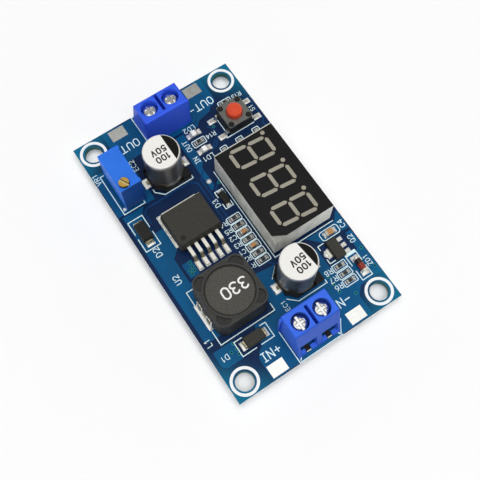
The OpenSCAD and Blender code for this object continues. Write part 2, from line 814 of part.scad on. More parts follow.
module inductor_shield() {
    corner = 2.2;
    pocket = 0.9;
    lip = 0.4;
    inner = ind_w - 2 * lip;
    h = ind_top - ind_base - pad_t;
    color("dimgray") on_pads(inductor_at) translate([0, 0, ind_base]) difference() {
        soft_block([ind_w, ind_w, h], corner);
        translate([0, 0, -1]) cylinder(d = ind_bore, h = h + 2);
        translate([0, 0, h - pocket]) difference() {
            soft_block([inner, inner, 1], corner - lip);
            translate([0, 0, -1]) cylinder(d = ind_bore + 2.5 * lip, h = 3);
        }
    }
}

module inductor_drum() {
    top = ind_top - pad_t - drum_drop;
    r = drum_d / 2;
    core = drum_core_d / 2;
    edge = 0.15;
    color("dimgray") on_pads(inductor_at) rotate_extrude() polygon([
        [0, ind_base], [r, ind_base], [r, ind_base + drum_flange], [core, ind_base + drum_flange],
        [core, top - drum_flange], [r, top - drum_flange], [r, top - edge], [r - edge, top], [0, top]
    ]);
}

// Wound copper between the drum's flanges
module inductor_winding() {
    gap = 0.05;
    low = ind_base + drum_flange + gap;
    high = ind_top - pad_t - drum_drop - drum_flange - gap;
    wire = 0.55;
    turns = floor((high - low) / wire);
    bulge = (high - low) / turns / 2;
    outer = drum_d / 2 - 0.6;
    color("peru") on_pads(inductor_at) rotate_extrude() {
        translate([drum_core_d / 2 + gap, low])
            square([outer - drum_core_d / 2 - gap, high - low]);
        for (i = [0:turns - 1]) translate([outer, low + (2 * i + 1) * bulge]) circle(bulge);
    }
}

// Sheet clip at each side: a foot under the ring and two rounded ears against its wall
module inductor_clips() {
    t = 0.3;
    ear_w = 2.3;
    ear_h = min(4.2, ind_top - 2);
    eye_d = 0.9;
    wall = ind_w / 2 + slip;
    color("silver") on_pads(inductor_at) for (turn = [0, 180]) rotate(turn) {
        translate([0, wall + t - clip_foot / 2, 0]) block([clip_w, clip_foot, t]);
        for (side = [-1, 1])
            translate([side * (clip_w - ear_w) / 2, wall, 0]) rotate([-90, 0, 0]) mirror([0, 1, 0])
                linear_extrude(t) difference() {
                    union() {
                        translate([-ear_w / 2, 0]) square([ear_w, ear_h - ear_w / 2]);
                        translate([0, ear_h - ear_w / 2]) circle(d = ear_w);
                    }
                    translate([0, ear_h - ear_w / 2]) circle(d = eye_d);
                }
    }
}

// One segment: a bar with pointed ends along X
module segment_bar(length, w) {
    polygon([
        [-length / 2, 0], [-length / 2 + w / 2, w / 2], [length / 2 - w / 2, w / 2],
        [length / 2, 0], [length / 2 - w / 2, -w / 2], [-length / 2 + w / 2, -w / 2]
    ]);
}

// The seven segments and the dot of one digit, leaning to the right, grown by a clearance
module digit_shape(grow = 0) {
    w = segment_w + 2 * grow;
    half = [digit[1] / 2 - segment_w / 2, digit[0] / 2 - segment_w / 2];
    across = 2 * half.x - 2 * segment_gap + 2 * grow;
    up = half.y - 2 * segment_gap + 2 * grow;
    multmatrix([[1, digit_lean, 0, 0], [0, 1, 0, 0], [0, 0, 1, 0], [0, 0, 0, 1]]) {
        for (y = [-1:1]) translate([0, y * half.y]) segment_bar(across, w);
        for (x = [-1, 1], y = [-1, 1])
            translate([x * half.x, y * half.y / 2]) rotate(90) segment_bar(up, w);
    }
    translate(dot_at) circle(d = dot_d + 2 * grow);
}

module all_digits(grow = 0) {
    for (i = [-1:1]) translate([i * digit_pitch + digit_shift, 0]) digit_shape(grow);
}

module display_shell() {
    inside = [disp.x - 2 * disp_wall, disp.y - 2 * disp_wall];
    color("gainsboro") on_board(display_at) translate([0, 0, disp_lift]) difference() {
        block([disp.x, disp.y, disp.z - face_t]);
        translate([0, 0, -eps]) block([inside.x, inside.y, disp.z - disp_wall - face_t]);
        translate([0, 0, disp.z - disp_wall - 1]) linear_extrude(3) all_digits(light_gap);
        for (x = [-1:1]) translate([x * digit_pitch, -disp.y / 2, -eps]) block(disp_notch);
    }
}

// Dark mask over the shell's top, cut at one corner
module display_face() {
    half = [disp.x / 2, disp.y / 2];
    color("black") on_board(display_at) translate([0, 0, disp_top - face_t])
        linear_extrude(face_t) difference() {
            polygon([
                [-half.x, -half.y], [half.x, -half.y], [half.x, half.y],
                [face_cut.x - half.x, half.y], [-half.x, half.y - face_cut.y]
            ]);
            all_digits(light_gap);
        }
}

module display_segments() {
    color("tan") on_board(display_at) translate([0, 0, disp_top - face_t - disp_wall])
        linear_extrude(disp_wall + face_t) all_digits();
}

// Carrier board inside the shell's foot
module display_circuit() {
    room = 0.05;
    inset = 2 * (disp_wall + room);
    color("olivedrab") on_board(display_at) translate([0, 0, disp_board_z]) difference() {
        block([disp.x - inset, disp.y - inset, disp_board_t]);
        for (side = [-1, 1], i = [0:disp_pins - 1])
            translate([(i - (disp_pins - 1) / 2) * disp_pin_pitch, side * disp_row / 2, -1])
                cylinder(d = disp_pin_w * sqrt(2) + 2 * room, h = disp_board_t + 2);
    }
}

module display_pins(side) {
    length = board_t + pin_out + disp_board_z + disp_board_t + disp_pin_top;
    on_board(display_at) for (i = [0:disp_pins - 1])
        translate([(i - (disp_pins - 1) / 2) * disp_pin_pitch, side * disp_row / 2, -board_t - pin_out])
            block([disp_pin_w, disp_pin_w, length]);
}

module display_upper_pins() {
    color("silver") display_pins(1);
}

module display_lower_pins() {
    color("silver") display_pins(-1);
}

// Twenty-lead controller between the board and the display
controller = [6.5, 4.4, 0.85];
controller_pitch = 0.65;
controller_side = 10;

module controller_body() {
    color("dimgray") on_board(display_at) translate([0, 0, 0.1]) moulded(controller, 0.1, 0.4);
}

module controller_leads() {
    reach = controller.y / 2 - 0.09;
    color("silver") on_board(display_at) for (turn = [0, 180], i = [0:controller_side - 1])
        rotate(turn) translate([(i - (controller_side - 1) / 2) * controller_pitch, 0, 0]) rotate(90)
            drawn(0.25) polygon([
                [reach + 0.1, 0.42], [reach + 0.1, 0.57], [reach + 0.35, 0.57], [reach + 0.5, 0.15],
                [reach + 1.05, 0.15], [reach + 1.05, 0], [reach + 0.4, 0], [reach + 0.25, 0.42]
            ]);
}

// Push button: moulded base with a round well and four stakes through the cover
tact_base_z = 0.15;
tact_rim = tact_h - tact_cover_t;

module switch_base() {
    r = tact_stake_d / 2;
    color("black") on_board(button_at) {
        difference() {
            translate([0, 0, tact_base_z])
                soft_block([tact_w, tact_w, tact_rim - tact_base_z], tact_corner);
            translate([0, 0, tact_floor]) cylinder(d = tact_well_d, h = tact_h);
        }
        for (sx = [-1, 1], sy = [-1, 1])
            translate([sx * tact_stake_at, sy * tact_stake_at, tact_rim - eps]) rotate_extrude() polygon([
                [0, 0], [r, 0], [r, tact_cover_t + tact_stake_out / 2],
                [r - 0.15, tact_cover_t + tact_stake_out], [0, tact_cover_t + tact_stake_out]
            ]);
    }
}

module switch_cover() {
    color("gray") on_board(button_at) translate([0, 0, tact_rim]) difference() {
        soft_block([tact_w, tact_w, tact_cover_t], tact_corner);
        translate([0, 0, -1]) cylinder(d = plunger_d + 2 * plunger_gap, h = 3);
        for (sx = [-1, 1], sy = [-1, 1]) translate([sx * tact_stake_at, sy * tact_stake_at, -1])
            cylinder(d = tact_stake_d + 2 * tact_stake_gap, h = 3);
    }
}

// Round plunger with a flange under the cover and a softly crowned top
plunger_lift = 0.05;
plunger_low = tact_rim - plunger_lift - plunger_flange_h;
plunger_edge = 0.6;
plunger_crown = 0.2;

module switch_plunger() {
    r = plunger_d / 2;
    flange = plunger_flange_d / 2;
    shoulder = plunger_low + plunger_flange_h;
    arc_at = [r - plunger_edge, tact_top - plunger_crown - plunger_edge];
    color("orangered") on_board(button_at) rotate_extrude() polygon([
        [0, plunger_low], [flange, plunger_low], [flange, shoulder], [r, shoulder],
        for (a = [0:15:90]) arc_at + plunger_edge * [cos(a), sin(a)],
        for (s = [0.6, 0.3, 0]) [s * r, tact_top - plunger_crown * s * s]
    ]);
}

// Sprung dome in the well, clear of the plunger over its whole travel
module switch_dome() {
    top = plunger_low - plunger_travel - plunger_lift;
    steps = 6;
    function crown(s) = top - dome_t - dome_rise * s * s;
    rim = crown(1);
    color("silver") on_board(button_at) rotate_extrude() polygon([
        for (i = [0:steps]) [dome_d / 2 * i / steps, crown(i / steps) + dome_t],
        [dome_d / 2, tact_floor], [dome_d / 2 - dome_t, tact_floor], [dome_d / 2 - dome_t, rim],
        for (i = [steps - 1:-1:0]) [dome_d / 2 * i / steps, crown(i / steps)]
    ]);
}

// Gull-wing legs at the base's two sides
module switch_legs() {
    face = tact_w / 2;
    tip = face + tact_leg_out;
    t = 0.25;
    z = 1;
    color("silver") on_board(button_at) for (turn = [0, 180], side = [-1, 1])
        rotate(turn) translate([side * tact_leg_x, 0, 0]) rotate(90) drawn(tact_leg_w) polygon([
            [face, z], [face, z + t], [face + 0.55, z + t], [face + 0.95, pad_t + t],
            [tip, pad_t + t], [tip, pad_t], [face + 0.75, pad_t], [face + 0.35, z]
        ]);
}

// Moulded rectifier bodies, standing just clear of the board between their leads
rectifier_lift = 0.25;
rectifier_part = 0.95;
rectifier_lead_w = 1.5;

module rectifier_body() {
    translate([0, 0, rectifier_lift]) moulded(rectifier, 0.2, rectifier_part);
}

// Strip that leaves the body at its parting line, runs down and turns in below it
module rectifier_lead() {
    t = 0.2;
    x = rectifier.x / 2;
    z = rectifier_lift + rectifier_part;
    out = x + 0.5;
    tuck = x - 0.7;
    drawn(rectifier_lead_w) polygon([
        [x + eps, z - t / 2], [x + eps, z + t / 2], [out - 0.15, z + t / 2], [out, z - t / 2],
        [out, 0], [tuck, 0], [tuck, t], [out - t, t], [out - t, z - t / 2]
    ]);
}

signal_diode = [2.7, 1.6, 1.1];
signal_lead_w = 0.6;

module signal_diode_lead() {
    x = signal_diode.x / 2;
    t = 0.15;
    z = 0.45;
    tip = x + 0.55;
    drawn(signal_lead_w) polygon([
        [x + eps, z], [x + eps, z + t], [x + 0.2, z + t], [x + 0.3, t],
        [tip, t], [tip, 0], [x + t, 0], [x + 0.1, z]
    ]);
}

module input_diode_body() {
    color("black") on_pads(input_diode_at, 90) rectifier_body();
}

module output_diode_body() {
    color("black") on_pads(output_diode_at) rectifier_body();
}

module signal_diode_body() {
    color("black") on_pads(signal_diode_at) translate([0, 0, 0.05]) moulded(signal_diode, 0.08, 0.47);
}

module diode_leads() {
    color("silver") for (turn = [0, 180]) {
        on_pads(input_diode_at, 90 + turn) rectifier_lead();
        on_pads(output_diode_at, turn) rectifier_lead();
        on_pads(signal_diode_at, turn) signal_diode_lead();
    }
}

// Flat three-lead package with a tab opposite its leads
transistor = [4.5, 2.5, 1.5];
transistor_lead_t = 0.4;
transistor_lead = [0.5, 1.6];
transistor_tab = [1.8, 1.6];
transistor_lead_out = 0.1;

module transistor_body() {
    color("black") on_pads(transistor_at) difference() {
        moulded(transistor, 0.12, transistor_lead_t);
        for (i = [-1:1]) translate([i * transistor_pitch, -transistor.y / 2, -eps])
            block([transistor_lead.x, transistor_lead.y, transistor_lead_t + eps]);
        translate([0, transistor.y / 2, -eps])
            block([transistor_tab.x, transistor_tab.y, transistor_lead_t + eps]);
    }
}

module transistor_leads() {
    h = transistor_lead_t - slip;
    w = transistor_lead.x - 2 * slip;
    color("silver") on_pads(transistor_at) {
        for (i = [-1:1]) translate([i * transistor_pitch, -transistor.y / 2 - transistor_lead_out, 0])
            block([w, transistor_lead.y, h]);
        translate([0, transistor.y / 2 + slip, 0])
            block([transistor_tab.x - 2 * slip, transistor_tab.y - 2 * slip, h]);
    }
}

// Glass tube between two metal end caps
glass_tube = [1.4, 2.5];
glass_cap = [1.5, 0.5];

module glass_diode_tube() {
    color("orangered") on_pads(glass_diode_at) translate([-glass_tube[1] / 2, 0, glass_cap[0] / 2])
        rotate([0, 90, 0]) cylinder(d = glass_tube[0], h = glass_tube[1]);
}

module glass_diode_caps() {
    color("silver") on_pads(glass_diode_at) for (turn = [0, 180])
        rotate(turn) translate([glass_tube[1] / 2, 0, glass_cap[0] / 2]) rotate([0, 90, 0])
            cylinder(d = glass_cap[0], h = glass_cap[1]);
}

// Chip parts lie along Y in their own frame
chip_cap = 0.25;
big_chip_cap = 0.4;
coat_t = 0.04;
lamp_base_t = 0.4;
lamp = [big_chip.x, big_chip.y, lamp_base_t];

module chip_core(size, cap) {
    block([size.y, size.x - 2 * cap, size.z]);
}

module chip_caps(size, cap) {
    for (side = [-1, 1]) translate([0, side * (size.x - cap) / 2, 0]) block([size.y, cap, size.z]);
}

module chip_resistors() {
    color("white") {
        for (at = upright_resistors) on_pads(at) chip_core(chip, chip_cap);
        for (at = side_spots) on_pads(at, 90) chip_core(chip, chip_cap);
    }
}

module resistor_coats() {
    coat = [chip.x - 0.1, chip.y - 2 * slip, coat_t];
    color("black") {
        for (at = upright_resistors) on_pads(at) translate([0, 0, chip.z]) chip_core(coat, chip_cap);
        for (at = side_spots) on_pads(at, 90) translate([0, 0, chip.z]) chip_core(coat, chip_cap);
    }
}

module chip_capacitors() {
    color("tan") {
        for (at = upright_capacitors) on_pads(at) chip_core([chip.x, chip.y, chip.y], chip_cap);
        on_pads(big_chip_at) chip_core(big_chip, big_chip_cap);
    }
}

module chip_end_caps() {
    color("silver") {
        for (at = upright_resistors) on_pads(at) chip_caps(chip, chip_cap);
        for (at = side_spots) on_pads(at, 90) chip_caps(chip, chip_cap);
        for (at = upright_capacitors) on_pads(at) chip_caps([chip.x, chip.y, chip.y], chip_cap);
        on_pads(big_chip_at) chip_caps(big_chip, big_chip_cap);
        for (at = led_spots) on_pads(at) chip_caps(lamp, big_chip_cap);
    }
}

// Indicator lamps: a thin base with a raised clear lens
module lamp_bases() {
    color("honeydew") for (at = led_spots) on_pads(at) chip_core(lamp, big_chip_cap);
}

module lamp_lenses() {
    color("white") for (at = led_spots) on_pads(at) translate([0, 0, lamp_base_t]) drawn_lens();
}

module drawn_lens() {
    half = big_chip.x / 2 - big_chip_cap;
    lean = 0.1;
    h = big_chip.z - lamp_base_t - lean;
    rotate(90) drawn(big_chip.y) polygon([
        [-half, 0], [half, 0], [half - lean, h], [lean - half, h]
    ]);
}

circuit_board();
tinned_pads();
solder_fillets();
input_terminal_housing();
input_terminal_contacts();
input_plus_screw();
input_minus_screw();
input_plus_guard();
input_minus_guard();
output_terminal_housing();
output_terminal_contacts();
output_plus_screw();
output_minus_screw();
output_plus_guard();
output_minus_guard();
trimmer_housing();
trimmer_screw();
trimmer_rotor();
trimmer_element();
trimmer_pins();
input_capacitor_can();
input_capacitor_base();
input_capacitor_leads();
output_capacitor_can();
output_capacitor_base();
output_capacitor_leads();
regulator_body();
regulator_tab();
regulator_leads();
inductor_shield();
inductor_drum();
inductor_winding();
inductor_clips();
display_shell();
display_face();
display_segments();
display_circuit();
display_upper_pins();
display_lower_pins();
controller_body();
controller_leads();
switch_base();
switch_cover();
switch_plunger();
switch_dome();
switch_legs();
input_diode_body();
output_diode_body();
signal_diode_body();
diode_leads();
transistor_body();
transistor_leads();
glass_diode_tube();
glass_diode_caps();
chip_resistors();
resistor_coats();
chip_capacitors();
chip_end_caps();
lamp_bases();
lamp_lenses();
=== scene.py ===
"""Finishes, solder, copper relief, printed legend and studio stage for a boost converter module."""

import math

import bmesh
import bpy
from bpy.props import FloatProperty, FloatVectorProperty, PointerProperty
from mathutils import Color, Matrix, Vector


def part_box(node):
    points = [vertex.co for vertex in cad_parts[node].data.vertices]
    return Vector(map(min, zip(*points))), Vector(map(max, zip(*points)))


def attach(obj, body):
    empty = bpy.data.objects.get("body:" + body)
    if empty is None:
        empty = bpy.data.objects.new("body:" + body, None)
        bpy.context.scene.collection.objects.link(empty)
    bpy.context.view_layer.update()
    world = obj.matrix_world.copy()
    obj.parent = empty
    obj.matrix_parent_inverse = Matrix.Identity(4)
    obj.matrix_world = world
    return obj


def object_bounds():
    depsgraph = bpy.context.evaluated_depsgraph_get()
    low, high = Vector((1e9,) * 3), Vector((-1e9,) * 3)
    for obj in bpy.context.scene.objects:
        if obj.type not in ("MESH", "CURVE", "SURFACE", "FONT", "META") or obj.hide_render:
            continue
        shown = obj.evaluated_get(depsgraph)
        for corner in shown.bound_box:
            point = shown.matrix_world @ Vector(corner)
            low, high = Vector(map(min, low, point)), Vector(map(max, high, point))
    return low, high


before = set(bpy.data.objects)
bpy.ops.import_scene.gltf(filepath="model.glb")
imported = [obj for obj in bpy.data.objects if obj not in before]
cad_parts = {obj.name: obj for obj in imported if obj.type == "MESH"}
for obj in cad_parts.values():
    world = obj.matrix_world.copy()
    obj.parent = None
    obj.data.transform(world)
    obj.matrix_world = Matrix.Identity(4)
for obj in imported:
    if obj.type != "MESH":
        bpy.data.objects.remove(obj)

bl_info = {
    "name": "Boost converter module",
    "version": (1, 0, 0),
    "blender": (4, 5, 0),
    "location": "View3D > Sidebar > Module",
    "description": "Finishes, solder, copper relief, legend and stage for a boost converter module",
    "category": "Object",
}

MM = 0.001
CAD_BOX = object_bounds()


def low(node):
    """Lowest corner of a CAD node in millimetres."""
    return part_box(node)[0] / MM


def high(node):
    """Highest corner of a CAD node in millimetres."""
    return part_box(node)[1] / MM


def middle(node):
    """Middle of a CAD node's box in millimetres."""
    return (low(node) + high(node)) / 2


BOARD = high("circuit_board")
BOARD_TOP = BOARD.z
PAD_TOP = high("tinned_pads").z
FLOOR = CAD_BOX[0].z / MM
# Points of a CAD mesh that lie closer than this, in metres, are one point
WELD_DISTANCE = 1e-7


def islands(node):
    """Boxes, as (lowest corner, highest corner) in millimetres, of the separate solids in a CAD node."""
    bm = bmesh.new()
    bm.from_mesh(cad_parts[node].data)
    bmesh.ops.remove_doubles(bm, verts=bm.verts, dist=WELD_DISTANCE)
    unseen = set(bm.verts)
    boxes = []
    for first in bm.verts:
        if first not in unseen:
            continue
        unseen.remove(first)
        queue, found = [first], []
        while queue:
            vert = queue.pop()
            found.append(vert.co / MM)
            for edge in vert.link_edges:
                other = edge.other_vert(vert)
                if other in unseen:
                    unseen.remove(other)
                    queue.append(other)
        boxes.append((Vector(map(min, *found)), Vector(map(max, *found))))
    bm.free()
    return sorted(boxes, key=lambda box: [round(value, 3) for value in box[0]])


def chips():
    """Chip parts, from their end caps, as (middle, axis, length, width). Axis 0 is X and 1 is Y."""
    caps = [((a + b) / 2, a, b) for a, b in islands("chip_end_caps")]
    found = []
    while caps:
        mid, a, b = caps.pop(0)
        mate = min(caps, key=lambda cap: (cap[0] - mid).length)
        caps.remove(mate)
        lows = Vector(map(min, a, mate[1]))
        highs = Vector(map(max, b, mate[2]))
        span = highs - lows
        axis = 0 if abs(mate[0].x - mid.x) > abs(mate[0].y - mid.y) else 1
        found.append(((lows + highs) / 2, axis, span[axis], span[1 - axis]))
    return found


class Wire:
    """One output of a shader node, with arithmetic on its value."""

    def __init__(self, finish, socket):
        self.finish, self.socket = finish, socket

    def __add__(self, other):
        return self.finish.math("ADD", self, other)

    __radd__ = __add__

    def __sub__(self, other):
        return self.finish.math("SUBTRACT", self, other)

    def __rsub__(self, other):
        return self.finish.math("SUBTRACT", other, self)

    def __mul__(self, other):
        return self.finish.math("MULTIPLY", self, other)

    __rmul__ = __mul__

    def __truediv__(self, other):
        return self.finish.math("DIVIDE", self, other)

    def __rtruediv__(self, other):
        return self.finish.math("DIVIDE", other, self)

    def __abs__(self):
        return self.finish.math("ABSOLUTE", self)

    def __gt__(self, other):
        return self.finish.math("GREATER_THAN", self, other)

    def __lt__(self, other):
        return self.finish.math("LESS_THAN", self, other)


class Graph:
    """A shader node tree."""

    def __init__(self, tree):
        self.tree = tree

    def node(self, kind, settings=None, values=None, output=0):
        """Adds a node: its settings first, then its inputs as values or wires. Returns one output."""
        node = self.tree.nodes.new(kind)
        for key, value in (settings or {}).items():
            setattr(node, key, value)
        for key, value in (values or {}).items():
            self.feed(node.inputs[key], value)
        return Wire(self, node.outputs[output])

    def feed(self, socket, value):
        """Links a wire to an input, or sets the input's value."""
        if isinstance(value, Wire):
            self.tree.links.new(value.socket, socket)
        else:
            socket.default_value = value

    def math(self, operation, *terms):
        """One Math node."""
        return self.node("ShaderNodeMath", {"operation": operation}, dict(enumerate(terms)))

    def split(self, vector):
        """The three parts of a vector."""
        return [self.node("ShaderNodeSeparateXYZ", None, {0: vector}, axis) for axis in ("X", "Y", "Z")]

    def step(self, value, start, end):
        """0 up to start, 1 from end on, smooth between."""
        return self.node(
            "ShaderNodeMapRange",
            {"interpolation_type": "SMOOTHSTEP"},
            {"Value": value, "From Min": start, "From Max": end},
        )

    def past(self, value, level, band):
        """0 to 1 over a band that is given as two distances from a level."""
        return self.step(value, level + band[0], level + band[1])

    def mix(self, factor, first, second):
        """A colour between two."""
        return self.node("ShaderNodeMix", {"data_type": "RGBA"}, {0: factor, 6: first, 7: second}, 2)


class Finish(Graph):
    """A procedural material on one Principled shader. Places are in millimetres."""

    def __init__(self, name):
        self.material = bpy.data.materials.new(name)
        self.material.use_nodes = True
        super().__init__(self.material.node_tree)
        self.shader = self.tree.nodes["Principled BSDF"]
        self.place = self.node(
            "ShaderNodeVectorMath",
            {"operation": "SCALE"},
            {0: self.node("ShaderNodeTexCoord", output="Object"), "Scale": 1 / MM},
        )
        self.x, self.y, self.z = self.split(self.place)

    def facing(self):
        """The surface's direction in the object's own axes, as three wires."""
        return self.split(self.node("ShaderNodeTexCoord", output="Normal"))

    def noise(self, size, detail=2.0, stretch=(1, 1, 1)):
        """Cloudy noise from 0 to 1 with spots of that size in millimetres."""
        place = self.place
        if stretch != (1, 1, 1):
            place = self.node("ShaderNodeVectorMath", {"operation": "MULTIPLY"}, {0: place, 1: stretch})
        return self.node("ShaderNodeTexNoise", None, {"Vector": place, "Scale": 1 / size, "Detail": detail})

    def cells(self, size):
        """Distance to the nearest of scattered points, which lie about that far apart."""
        return self.node("ShaderNodeTexVoronoi", None, {"Vector": self.place, "Scale": 1 / size})

    def vary(self, factor, tone, start, end=1.0):
        """A colour that goes from one share of its lightness to another."""
        return self.mix(factor, shade(tone, start), shade(tone, end))

    def coat(self, tone, rough, metal=0.0, gloss=0.5):
        """Gives the shader its colour, roughness, metal and gloss. The gloss is a plain number."""
        inputs = {"Base Color": tone, "Roughness": rough, "Metallic": metal, "Specular IOR Level": gloss}
        for name, value in inputs.items():
            self.feed(self.shader.inputs[name], value)
        return self

    def bump(self, height, depth, strength=0.3):
        """Bends the light by a height from 0 to 1, times a depth in millimetres. Returns the material."""
        values = {"Strength": strength, "Distance": depth * MM, "Height": height}
        self.feed(self.shader.inputs["Normal"], self.node("ShaderNodeBump", None, values))
        return self.material


def ink_of(colour):
    """A display colour as a shader colour."""
    return [*Color(colour).from_srgb_to_scene_linear(), 1.0]


def shade(colour, share):
    """A shader colour made lighter or darker."""
    return [min(1.0, value * share) for value in colour[:3]] + [1.0]


# Lacquer: where painted shade darkens it along the board, and at what distance along plus across its corners
# turn greener with painted light
SHADE_ALONG = (-10.0, 20.0)
CORNER_LIGHT = (41.0, 53.0)
# Distance from the board's outline from which on a side is a cut edge and not the wall of a hole
CUT_EDGE = (-0.4, -0.2)
# Waves of the weave, in radians per millimetre
WEAVE = 12.0


def lacquered(name, look, colour):
    """Board lacquer: clouds, painted shade towards the output end, painted light that turns the corners
    greener; cut laminate sides.
    """
    f = Finish(name)
    main = ink_of(colour)
    cloud = f.step(f.noise(7.0, detail=3.0), 0.3, 0.75)
    far = f.step(f.x, *SHADE_ALONG)
    corner = f.step(abs(f.x) + abs(f.y) + f.noise(8.0) * 4.0, *CORNER_LIGHT)
    # Painted shade: the lacquer darkens towards the output end
    top = f.mix(far * 0.28, f.vary(cloud, main, 0.88, 1.14), shade(main, 0.55))
    # Painted light: the corners turn greener
    top = f.mix(corner * 0.85, top, ink_of(look.corner_light_colour))
    flat = f.step(abs(f.facing()[2]), 0.4, 0.6)
    layers = f.noise(0.45, detail=3.0, stretch=(0.4, 0.4, 2.0))
    cut = f.vary(f.step(layers, 0.35, 0.62), ink_of(look.edge_colour), 0.7)
    along, across = [f.past(abs(at), edge, CUT_EDGE) for at, edge in ((f.x, BOARD.x), (f.y, BOARD.y))]
    # Painted shade: the hole walls are the laminate, darker and tinted teal
    side = f.mix(along + across > 0.5, ink_of(look.hole_wall_shade), cut)
    f.coat(f.mix(flat, side, top), 0.72 - flat * (0.34 - cloud * 0.08), gloss=0.16)
    weave = f.math("SINE", f.x * WEAVE) * f.math("SINE", f.y * WEAVE)
    return f.bump(weave * flat * 0.15 + layers * (1.0 - flat), depth=0.05, strength=0.25)


def satin(name, colour, rough=0.42, grain=0.10, depth=0.02, size=0.25, tint=0.10, gloss=0.25, front=1.0):
    """Moulded plastic or resin: faint clouds and a pitted skin; sides that face the input end take the share
    front of its lightness, painted shade below one and painted light above one.
    """
    f = Finish(name)
    main = ink_of(colour)
    cloud = f.noise(3.0, detail=3.0)
    pits = f.noise(size)
    body = f.vary(cloud, main, 1.0 - tint, 1.0 + tint)
    # Painted shade (front below one) and painted light (front above one) on sides that face the input end
    body = f.mix(f.step(f.facing()[0], -0.15, -0.45), body, shade(main, front))
    return f.coat(body, rough + (pits - 0.5) * grain, gloss=gloss).bump(pits, depth)


# Depths below the crest between which upward faces take painted shade, as on the floors of the ring's pockets
CREST = (-0.5, -0.2)


def gritty(name, colour, speck, rough=0.62, size=0.16, sides=1.0, crest=0.0):
    """Moulding compound or ferrite: light and dark grains, darker on its sides, with painted shade on upward
    faces below its crest.
    """
    f = Finish(name)
    main = ink_of(colour)
    grains = f.step(f.noise(size, detail=3.0), 0.35, 0.7)
    sparks = f.step(f.cells(size * 2.4), 0.22, 0.08)
    # Painted shade: upward faces below the crest take part of the darker side tone
    top = f.step(f.facing()[2], 0.5, 0.9) * (0.6 + f.past(f.z, crest, CREST) * 0.4)
    body = f.mix(top, f.vary(grains, main, 0.74 * sides, 1.22 * sides), f.vary(grains, main, 0.74, 1.22))
    body = f.mix(sparks * 0.3, body, ink_of(speck))
    return f.coat(body, rough + (grains - 0.5) * 0.18, gloss=0.25).bump(grains, depth=0.03, strength=0.35)


def plated(name, colour, rough=0.28, lumps=0.5, depth=0.03, dull=0.12, metal=1.0, dark=0.82):
    """Metal skin: smeared bright and dull patches over low lumps."""
    f = Finish(name)
    patches = f.noise(lumps, detail=3.0)
    fine = f.noise(lumps * 0.2)
    skin = f.vary(f.step(patches, 0.3, 0.7), ink_of(colour), dark)
    f.coat(skin, rough + (patches - 0.5) * dull * 2.0 + (fine - 0.5) * dull, metal)
    return f.bump(patches + fine * 0.3, depth, strength=0.35)


def bent(name, look):
    """Tinned leads: bright where they lie flat, with a painted dull olive reflection on their bends."""
    f = Finish(name)
    patches = f.noise(0.5, detail=3.0)
    # Painted reflection: sloping faces take the dull olive bend colour
    slope = f.step(f.facing()[2], 0.95, 0.7)
    skin = f.mix(slope * 0.9, f.vary(patches, ink_of(look.tin), 0.88), ink_of(look.bend))
    return f.coat(skin, 0.24 + patches * 0.1, metal=0.5).bump(patches, depth=0.02)


# Painted reflection inside a clip's solder loops: half its width, height over the pads where it is widest,
# and drop to its foot
REFLECTION_HALF = 0.95
REFLECTION_HEIGHT = 2.2
REFLECTION_DROP = 1.7


def wetted(name, look, mid, reach):
    """Solder drawn up a clip in two loops: white round their foot and sides, with a dark painted reflection
    inside, where the skin is also more metallic.
    """
    f = Finish(name)
    patches = f.noise(0.7, detail=3.0)
    across = (abs(f.x - mid) - reach) / REFLECTION_HALF
    rise = f.math("MINIMUM", (f.z - PAD_TOP - REFLECTION_HEIGHT) / REFLECTION_DROP, 0.0)
    # Painted reflection: the inside of each loop takes the dark olive colour
    thin = f.step(across * across + rise * rise + (patches - 0.5) * 0.3, 0.7, 0.45)
    skin = f.mix(thin, f.vary(patches, ink_of(look.clip_solder), 0.85), ink_of(look.loop_reflection_colour))
    return f.coat(skin, 0.34 + patches * 0.1, metal=thin * 0.4).bump(patches, depth=0.02)


# Between these distances from its middle and from its side at the board's edge the shell's walls take painted
# light
LIT_START = -1.0
LIT_END = 1.5
# Distances from the shell's end at which the dark film stops
FILM_EDGE = (-0.24, -0.18)


def milky(name, look, node):
    """Milky display shell: cloudy sides with painted light towards its side at the board's edge, and painted
    shade on its top.
    """
    f = Finish(name)
    cloud = f.step(f.noise(2.4, detail=3.0, stretch=(1.0, 1.0, 0.5)), 0.35, 0.65)
    pits = f.noise(0.5)
    # Painted light on the walls towards the board's edge
    lit = f.step(f.y, middle(node).y + LIT_START, low(node).y + LIT_END)
    side = f.vary(cloud * (1.0 - lit) + lit, ink_of(look.shell), 0.76)
    # Painted shade on upward faces
    skin = f.mix(f.step(f.facing()[2], 0.6, 0.9), side, ink_of(look.shell_top_shade))
    return f.coat(skin, 0.4 + (pits - 0.5) * 0.15, gloss=0.25).bump(pits, depth=0.03)


def filmed(name, look, node):
    """Dark display film that stops short of the shell's edge at the output end, where the bare rim takes the
    shell's colour with painted shade.
    """
    f = Finish(name)
    smear = f.noise(3.0, detail=3.0)
    rim = f.past(f.x, high(node).x, FILM_EDGE)
    # Painted shade: the rim is the shell's colour at 0.6 of its lightness
    skin = f.mix(rim, f.vary(smear, ink_of(look.face), 0.9, 1.1), shade(ink_of(look.shell), 0.6))
    return f.coat(skin, 0.36 + (smear - 0.5) * 0.1, gloss=0.25).bump(smear, depth=0.01)


# Depths of the slot's floor below the screw's top, where a painted highlight starts, and distances of the
# painted glint from a contact's end
SLOT_FLOOR = (-0.15, -0.25)
CONTACT_TIP = (-0.2, -0.1)


